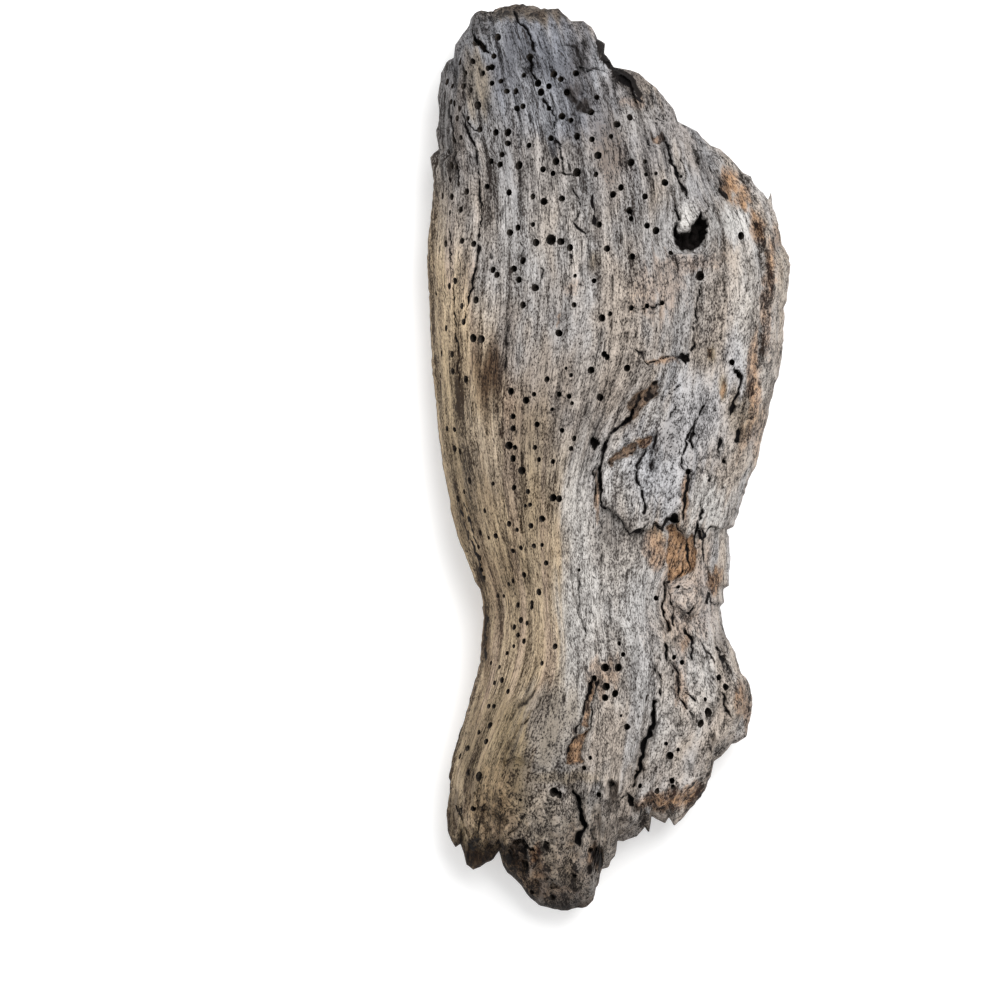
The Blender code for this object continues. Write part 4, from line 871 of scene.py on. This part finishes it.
def bore_matrix(surface, mark, facing):
    """Place of a bore at a mark: long side up the sheet, bottom to the right.

    The axis lies between the broad surface's normal and upright, plus a
    small lean.
    """
    x = (mark[0] - SHEET_MIDDLE[0]) * STEP
    y = (SHEET_MIDDLE[1] - mark[1]) * STEP
    gap = np.hypot(surface[..., 0] - x, surface[..., 1] - y)
    chosen = surface[gap < 2.4 * BORE_REACH]
    spot = surface[gap < BORE_REACH]
    plane = np.column_stack([chosen[:, 0], chosen[:, 1], np.ones(len(chosen))])
    slope = np.linalg.lstsq(plane, chosen[:, 2], rcond=None)[0]
    level = np.median(spot[:, 2])
    normal = Vector((-0.55 * slope[0], -0.55 * slope[1], 1.0)) * facing
    normal.normalize()
    lean_x = -0.34 + 0.36 * lattice(mark[0], mark[1], 81)
    lean_y = -0.08 + 0.30 * lattice(mark[0], mark[1], 82)
    normal = normal + Vector((lean_x, lean_y, 0.0))
    normal.normalize()
    long_side = Vector((0.5 * lattice(mark[0], mark[1], 83), 1.0, 0.0))
    side = long_side.cross(normal).normalized()
    turn = Matrix((side, normal.cross(side), normal)).transposed().to_4x4()
    return Matrix.Translation(Vector((x, y, level))) @ turn


def bore_cutter(number, matrix, radius, holder, material):
    """One oval, tapered bore cutter whose mouth stands clear of the wood."""
    mesh = bpy.data.meshes.new("bore_%d" % number)
    shape = bmesh.new()
    length = BORE_DEPTH + BORE_CLEAR
    lift = Matrix.Translation(Vector((0.0, 0.0, BORE_CLEAR - length / 2.0)))
    slim = 0.78 + 0.22 * lattice(number, 5, 84)
    oval = Matrix.Diagonal(Vector((slim, 1.02, 1.0, 1.0)))
    bmesh.ops.create_cone(
        shape, cap_ends=True, cap_tris=False, segments=BORE_SIDES,
        radius1=radius * 0.62, radius2=radius, depth=length,
        matrix=matrix @ oval @ lift)
    shape.to_mesh(mesh)
    shape.free()
    mesh.materials.append(material)
    holder.objects.link(bpy.data.objects.new("bore_%d" % number, mesh))


def add_value(mesh, name, values):
    """Store one number a vertex under a name that a material reads."""
    layer = mesh.attributes.new(name, "FLOAT", "POINT")
    layer.data.foreach_set("value", np.ascontiguousarray(values, np.float32))


def points_of(mesh):
    """The places of a mesh's vertices, one row each."""
    flat = np.empty(len(mesh.vertices) * 3)
    mesh.vertices.foreach_get("co", flat)
    return flat.reshape(-1, 3)


def fit_inside(mesh):
    """Stretch a mesh by a hair so that its box is the frame's, a little in."""
    points = points_of(mesh)
    low, high = np.array(cad_box[0]), np.array(cad_box[1])
    share = (points - points.min(axis=0)) / np.ptp(points, axis=0)
    points = low + BOX_INSET + share * (high - low - 2.0 * BOX_INSET)
    mesh.vertices.foreach_set("co", points.ravel())
    mesh.update()


def paint_values(mesh):
    """Work out fibre position, tones and painted shade for every vertex.

    Tones are soft ovals faded to nothing on the flanks, tan falls off to the
    right of a ridge line, soot and painted shade gather at the root end's rim,
    and groove shade, painted shade in the grooves between the ridges, is the
    ridges turned upside down.
    """
    points = points_of(mesh) / MILLIMETRE
    across = points[:, 0] / STEP_MM + SHEET_MIDDLE[0]
    down = SHEET_MIDDLE[1] - points[:, 1] / STEP_MM
    place = fibre_place(across, down)
    grain = np.stack([place * STEP_MM, down * STEP_MM, points[:, 2]], axis=-1)
    layer = mesh.attributes.new("grain", "FLOAT_VECTOR", "POINT")
    layer.data.foreach_set("vector", grain.astype(np.float32).ravel())
    lift = points[:, 2] - UPPER_MM
    upper = smooth_step(lift / UPPER_RAMP_MM)
    rim_too = smooth_step((lift + UPPER_RAMP_MM * root_cover(down)) / UPPER_RAMP_MM)
    moved_x, moved_y = wandering(across, down)
    shift_x = with_noise(0.0, across, down, (7.0, 22.0, 50.0, 51))
    shift_x = with_noise(shift_x, place, down, (5.0, 5.0, 40.0, 53))
    shift_y = with_noise(0.0, place, down, (22.0, 6.0, 50.0, 52), (12.0, 2.4, 30.0, 54))
    shift = (shift_x, shift_y)
    ridge = along(TAN_RIDGE, down)
    add_value(mesh, "tan", smooth_step((ridge - across - shift_x) / 56.0 + 0.6))
    for name, marks in (("slate", SLATE), ("cool", COOL), ("pale", PALE), ("olive", OLIVE),
                        ("light", LIGHT)):
        add_value(mesh, name, spots(across, down, shift, marks) * upper)
    shade = np.minimum(0.19 * spots(across, down, shift, SHADE), 0.66)
    add_value(mesh, "shade", shade * rim_too)
    # Painted shade along the root end's rim, strongest on the left.
    ends = np.array(ROOT_END)
    rim = np.interp(across, np.maximum.accumulate(ends[:, 0]), ends[:, 1])
    rim = 1.0 - smooth_step((rim - down) / (11.0 + 4.0 * (moved_x - across)))
    rim = rim * np.interp(across, [440, 595, 615, 760], [1.0, 1.0, 0.5, 0.4])
    # Soot spots joined with the painted rim shade.
    soot_and_shade = np.maximum(spots(across, down, shift, SOOT_AND_SHADE), rim)
    add_value(mesh, "soot_and_shade", soot_and_shade * rim_too)
    rough = rough_cover(across, down)
    add_value(mesh, "rough", np.maximum(rough, spots(across, down, shift, GRITTY)))
    _, recess_shade, brown, split = cuts(moved_x, moved_y)
    stain = np.maximum(spots(moved_x, moved_y, shift, BROWN), brown)
    add_value(mesh, "brown", stain * upper)
    _, foot_shade, tone = flakes(moved_x, moved_y, place)
    add_value(mesh, "layer", tone * rough)
    # Painted shade in cracks, hollows and pits, and at the foot of each flake.
    add_value(mesh, "recess_shade", np.maximum(recess_shade, 0.48 * foot_shade * rough) * upper)
    # Painted shadow: thin dark lines under the plate's edge and below the ledges.
    swell = 0.5 + 0.9 * noise(across / 9.0, down / 9.0, 63)
    plate = inside_depth(moved_x, moved_y, PLATE)
    low = smooth_step((down - 425.0) / 25.0)
    line = (0.9 * swell + 0.4) * low - np.abs(plate + 1.2) - 2.0 + 2.0 * low
    split = np.maximum(split, line)
    for marks, drop in LEDGES:
        inside = inside_depth(moved_x, moved_y, marks)
        line = min(0.25 * drop, 1.0) * swell - np.abs(inside - 0.9)
        split = np.maximum(split, line)
    # Painted shadow lines: in the cracks and under the plate and ledge edges.
    add_value(mesh, "split", np.maximum(split, -2.0) * upper - 2.0 + 2.0 * upper)
    # Painted shade in the grooves between the fibre ridges: darker where the ridges are low.
    slit = -fine_ridges(place, down) - 0.5 * fibre_ridges(place, down)
    add_value(mesh, "groove_shade", smooth_step((slit + 0.1) / 0.9))


class Reading:
    """A number that varies over a surface and takes Python arithmetic."""

    def __init__(self, board, socket):
        self.board = board
        self.socket = socket

    def sum_of(self, operation, first, second):
        """A Math node of two inputs."""
        return self.board.node("ShaderNodeMath", {"operation": operation},
                               {0: first, 1: second})

    def __add__(self, other):
        return self.sum_of("ADD", self, other)

    def __sub__(self, other):
        return self.sum_of("SUBTRACT", self, other)

    def __rsub__(self, other):
        return self.sum_of("SUBTRACT", other, self)

    def __mul__(self, other):
        return self.sum_of("MULTIPLY", self, other)

    __radd__ = __add__
    __rmul__ = __mul__

    def ramp(self, low, high):
        """0 at low to 1 at high, smoothly."""
        return self.board.node(
            "ShaderNodeMapRange", {"interpolation_type": "SMOOTHSTEP"},
            {"Value": self, "From Min": low, "From Max": high})

    def above(self, level):
        """How far it stands above a level, or 0."""
        return self.sum_of("MAXIMUM", self - level, 0.0)

    def held(self):
        """Kept between 0 and 1."""
        return self.board.node("ShaderNodeClamp", {}, {"Value": self, "Min": 0.0, "Max": 1.0})

    def apart(self, centre):
        """Its distance from a centre value."""
        return self.board.node("ShaderNodeMath", {"operation": "ABSOLUTE"}, {0: self - centre})


class Board:
    """The node tree of one material."""

    def __init__(self, name):
        self.material = bpy.data.materials.new(name)
        self.material.use_nodes = True
        self.tree = self.material.node_tree
        self.shader = self.tree.nodes["Principled BSDF"]

    def plug(self, socket, value):
        """Link a reading to a socket, or set the socket to a constant."""
        if isinstance(value, Reading):
            self.tree.links.new(value.socket, socket)
        else:
            socket.default_value = value

    def node(self, kind, settings, inputs, output=0):
        """One node: its type, its settings, then its inputs."""
        made = self.tree.nodes.new(kind)
        for name, value in settings.items():
            setattr(made, name, value)
        for name, value in inputs.items():
            self.plug(made.inputs[name], value)
        return Reading(self, made.outputs[output])

    def value(self, name):
        """A vertex value stored by add_value."""
        return self.node("ShaderNodeAttribute", {"attribute_name": name}, {}, "Fac")

    def cloud(self, place, scales, detail=3.0, rough=0.55):
        """Noise between 0 and 1 at a place multiplied by one scale an axis."""
        stretched = self.node("ShaderNodeVectorMath", {"operation": "MULTIPLY"},
                              {0: place, 1: scales}, "Vector")
        return self.node("ShaderNodeTexNoise", {}, {
            "Vector": stretched, "Scale": 1.0, "Detail": detail, "Roughness": rough}, "Fac")

    def mix(self, first, second, factor, blend="MIX"):
        """The second colour over the first, by a factor."""
        made = self.tree.nodes.new("ShaderNodeMix")
        made.data_type = "RGBA"
        made.blend_type = blend
        self.plug(made.inputs["Factor"], factor)
        self.plug(made.inputs[6], first)
        self.plug(made.inputs[7], second)
        return Reading(self, made.outputs[2])

    def finish(self, colour, roughness, height, depth):
        """Feed the shader a colour, a roughness and a bump of a depth."""
        self.plug(self.shader.inputs["Base Color"], colour)
        self.plug(self.shader.inputs["Roughness"], roughness)
        self.shader.inputs["Specular IOR Level"].default_value = 0.25
        bump = self.node(
            "ShaderNodeBump", {},
            {"Height": height, "Strength": 1.0, "Distance": depth}, "Normal")
        self.plug(self.shader.inputs["Normal"], bump)


def weathered_wood():
    """Sun-bleached grey wood: streaks along the fibres over fine grit.

    The tone is 0.55 plus streaks of three widths, specks of two sizes and
    slow patches, with more contrast where it is shaded.  Each colour runs
    from its dark end to its bright end by the tone.
    """
    board = Board("weathered_wood")
    grain = board.node("ShaderNodeAttribute", {"attribute_name": "grain"}, {}, "Vector")
    rough = board.value("rough")
    stained = board.value("brown")
    sunny = board.value("tan")
    shade = board.value("shade")
    hair = board.cloud(grain, (2.5, 0.30, 1.1), 3.0, 0.65)
    strand = board.cloud(grain, (0.62, 0.030, 0.35), 4.0, 0.62)
    band = board.cloud(grain, (0.20, 0.012, 0.15))
    patch = board.cloud(grain, (0.11, 0.06, 0.10), 4.0, 0.6)
    grit = board.cloud(grain, (2.9, 1.3, 2.2), 2.0, 0.6)
    lump = board.cloud(grain, (0.60, 0.34, 0.5), 4.0, 0.65)
    seam = board.cloud(grain, (0.72, 0.034, 0.4), 2.0, 0.5).apart(0.5).ramp(0.020, 0.005)
    seam = seam * patch.ramp(0.47, 0.57) * (1.0 - 0.7 * rough)
    vein = board.cloud(grain, (0.75, 0.20, 0.6), 3.0, 0.6).apart(0.5).ramp(0.024, 0.004)
    vein = vein * lump.ramp(0.56, 0.44) * (0.25 + 0.75 * rough)
    streaks = 1.6 * (hair - 0.5) + (1.9 - 0.5 * sunny) * (strand - 0.5)
    streaks = streaks + (1.4 + 1.2 * sunny) * (band - 0.5)
    specks = (1.7 + 0.6 * rough) * (grit - 0.5)
    specks = specks - (0.25 + 0.20 * rough) * grit.ramp(0.43, 0.32)
    specks = specks + (0.4 + 1.4 * rough) * (lump - 0.5)
    along_it = 1.0 - 0.45 * rough * (1.0 - stained).held()
    tone = 0.55 + along_it * streaks + specks + 0.35 * board.value("layer")
    # Painted shade in the grooves between the ridges darkens the tone.
    tone = tone + 0.9 * (patch - 0.5) - 0.40 * board.value("groove_shade")
    tone = tone + 0.12 * board.value("light")
    tone = 0.55 + (1.0 + 2.3 * shade) * (tone - 0.55)
    tone = tone - 1.3 * shade * tone.above(0.8)
    tone = tone.held() * (1.0 - shade)

    def by_tone(dark, bright, reading=tone):
        """A colour that runs from dark to bright by the tone."""
        return board.mix((*dark, 1), (*bright, 1), reading)

    warm = board.cloud(grain, (0.07, 0.02, 0.06), 3.0, 0.6).ramp(0.36, 0.60)
    bright = board.mix((0.52, 0.50, 0.49, 1), (0.56, 0.48, 0.41, 1), warm)
    colour = board.mix((0.028, 0.021, 0.017, 1), bright, tone)
    russet = board.cloud(grain, (0.16, 0.012, 0.1), 3.0, 0.6).ramp(0.50, 0.66) * 0.55
    tan = board.mix(by_tone((0.050, 0.029, 0.014), (0.735, 0.56, 0.355)),
                    by_tone((0.03, 0.012, 0.007), (0.50, 0.35, 0.27)), russet)
    colour = board.mix(colour, tan, sunny * 0.85)
    for name, dark, bright in (
            ("slate", (0.008, 0.008, 0.010), (0.24, 0.25, 0.285)),
            ("cool", (0.030, 0.028, 0.030), (0.53, 0.54, 0.57)),
            ("pale", (0.12, 0.105, 0.095), (0.69, 0.665, 0.635))):
        colour = board.mix(colour, by_tone(dark, bright), board.value(name))
    strand = strand + rough * (lump - strand)
    olive = (board.value("olive") * (0.35 + 1.3 * strand)).held()
    colour = board.mix(colour, by_tone((0.010, 0.006, 0.003), (0.36, 0.27, 0.155)), olive)
    rusty = (tone + 1.2 * (lump - 0.5) - 0.06).held()
    edge = (stained + 0.7 * (grit - 0.5)).ramp(0.10, 0.36)
    stain = (stained * edge * (0.30 + 1.35 * strand)).held()
    brown = by_tone((0.030, 0.010, 0.004), (0.52, 0.32, 0.185), rusty)
    colour = board.mix(colour, brown, stain)
    # Soot, and painted shade at the root end's rim, darken the colour.
    soot_and_shade = (board.value("soot_and_shade") * (1.9 - 1.8 * strand)).held()
    colour = board.mix(colour, (0.22, 0.17, 0.14, 1), soot_and_shade, "MULTIPLY")
    # Painted shade in cracks, hollows, pits and flake feet, and painted shadow lines in cracks and
    # under edges.
    recess_shade = (board.value("recess_shade") + 0.5 * (hair - 0.5)).ramp(0.20, 0.60)
    split = (board.value("split") + 1.6 * (grit - 0.5)).ramp(-0.25, 0.30)
    for dark, cover in (((0.016, 0.011, 0.009, 1), seam * 0.85),
                        ((0.016, 0.011, 0.009, 1), vein * 0.8),
                        ((0.010, 0.007, 0.006, 1), recess_shade),
                        ((0.006, 0.004, 0.004, 1), split)):
        colour = board.mix(colour, dark, cover)
    height = 0.5 * hair + 0.4 * strand + 0.5 * grit - 0.4 * seam
    height = height - 0.5 * vein + 0.6 * rough * lump
    board.finish(colour, 0.88, height, 0.0009)
    return board.material


def bore_wall():
    """Dark brown inner wood of the insect bores, darkened nearly to black by painted shade."""
    board = Board("bore_wall")
    place = board.node("ShaderNodeTexCoord", {}, {}, "Object")
    cloud = board.cloud(place, (900.0, 900.0, 900.0), 2.0)
    colour = board.mix((0.010, 0.007, 0.005, 1), (0.075, 0.062, 0.050, 1),
                       cloud.ramp(0.35, 0.75))
    board.finish(colour, 0.95, cloud, 0.0002)
    return board.material


def apply_modifier(item, kind, **settings):
    """Give an object one modifier with its settings, and apply it."""
    modifier = item.modifiers.new(kind.lower(), kind)
    for name, value in settings.items():
        setattr(modifier, name, value)
    graph = bpy.context.evaluated_depsgraph_get()
    graph.update()
    item.data = bpy.data.meshes.new_from_object(item.evaluated_get(graph))
    item.modifiers.clear()


def linked(name, data, place=(0.0, 0.0, 0.0)):
    """A new object in the scene."""
    item = bpy.data.objects.new(name, data)
    item.location = place
    bpy.context.scene.collection.objects.link(item)
    return item


def wood_skin():
    """The whole piece of wood with its bores cut."""
    front, back = grid_points()
    points, faces = closed_shell(front, back)
    mesh = bpy.data.meshes.new("wood_skin")
    mesh.from_pydata(points.tolist(), [], faces.tolist())
    mesh.materials.append(weathered_wood())
    skin = linked("wood_skin", mesh)
    apply_modifier(skin, "DECIMATE", ratio=SKIN_TRIANGLES / (2.0 * len(faces)))
    cutters = bpy.data.collections.new("cutters")
    bpy.context.scene.collection.children.link(cutters)
    inner = bore_wall()
    bores = [(front, mark, 1.0) for mark in BORES] + [(back, mark, -1.0) for mark in UNDER_BORES]
    for number, (surface, mark, facing) in enumerate(bores):
        radius = mark[2] * STEP * np.interp(mark[0], [440, 510], [1.3, 1])
        bore_cutter(number, bore_matrix(surface, mark, facing), radius, cutters, inner)
    apply_modifier(skin, "BOOLEAN", operation="DIFFERENCE", operand_type="COLLECTION",
                   collection=cutters, solver="MANIFOLD", material_mode="TRANSFER")
    for item in list(cutters.objects):
        bpy.data.objects.remove(item, do_unlink=True)
    bpy.data.collections.remove(cutters)
    skin.data.shade_smooth()
    skin.data.set_sharp_from_angle(angle=SHARP_ANGLE)
    paint_values(skin.data)
    fit_inside(skin.data)
    return skin


def stage_floor():
    """A plain pale floor that glows a little."""
    size = FLOOR_HALF
    corners = [(-size, -size, 0.0), (size, -size, 0.0), (size, size, 0.0), (-size, size, 0.0)]
    mesh = bpy.data.meshes.new("floor")
    mesh.from_pydata(corners, [], [(0, 1, 2, 3)])
    board = Board("floor_white")
    for name, value in (("Base Color", (0.9, 0.9, 0.9, 1)), ("Roughness", 0.9),
                        ("Emission Color", (1, 1, 1, 1)), ("Emission Strength", FLOOR_GLOW)):
        board.plug(board.shader.inputs[name], value)
    mesh.materials.append(board.material)
    return linked("floor", mesh)


def overhead_camera():
    """A long lens straight above the middle of the sheet's frame."""
    lens = bpy.data.cameras.new("camera")
    lens.sensor_width = SENSOR
    lens.lens = SENSOR * (CAMERA_HEIGHT - SCALE_LEVEL) / (1000 * STEP)
    lens.clip_end = 20.0
    middle = ((500.0 - SHEET_MIDDLE[0]) * STEP, (SHEET_MIDDLE[1] - 500.0) * STEP)
    bpy.context.scene.camera = linked("camera", lens, (*middle, CAMERA_HEIGHT))


def studio():
    """Even white surroundings and one soft key light from the top right."""
    world = bpy.data.worlds.new("studio")
    world.use_nodes = True
    back = world.node_tree.nodes["Background"]
    back.inputs["Color"].default_value = (1.0, 1.0, 1.0, 1.0)
    back.inputs["Strength"].default_value = WORLD_LIGHT
    bpy.context.scene.world = world
    lamp = bpy.data.lights.new("key", "AREA")
    lamp.size = KEY_SIZE
    lamp.energy = KEY_POWER
    key = linked("key", lamp, KEY_PLACE)
    key.rotation_euler = (-Vector(KEY_PLACE)).to_track_quat("-Z", "Y").to_euler()
    bpy.context.scene.view_settings.view_transform = "Standard"


skin = wood_skin()
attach(skin, "root")
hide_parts("driftwood")
stage_floor()
studio()
overhead_camera()
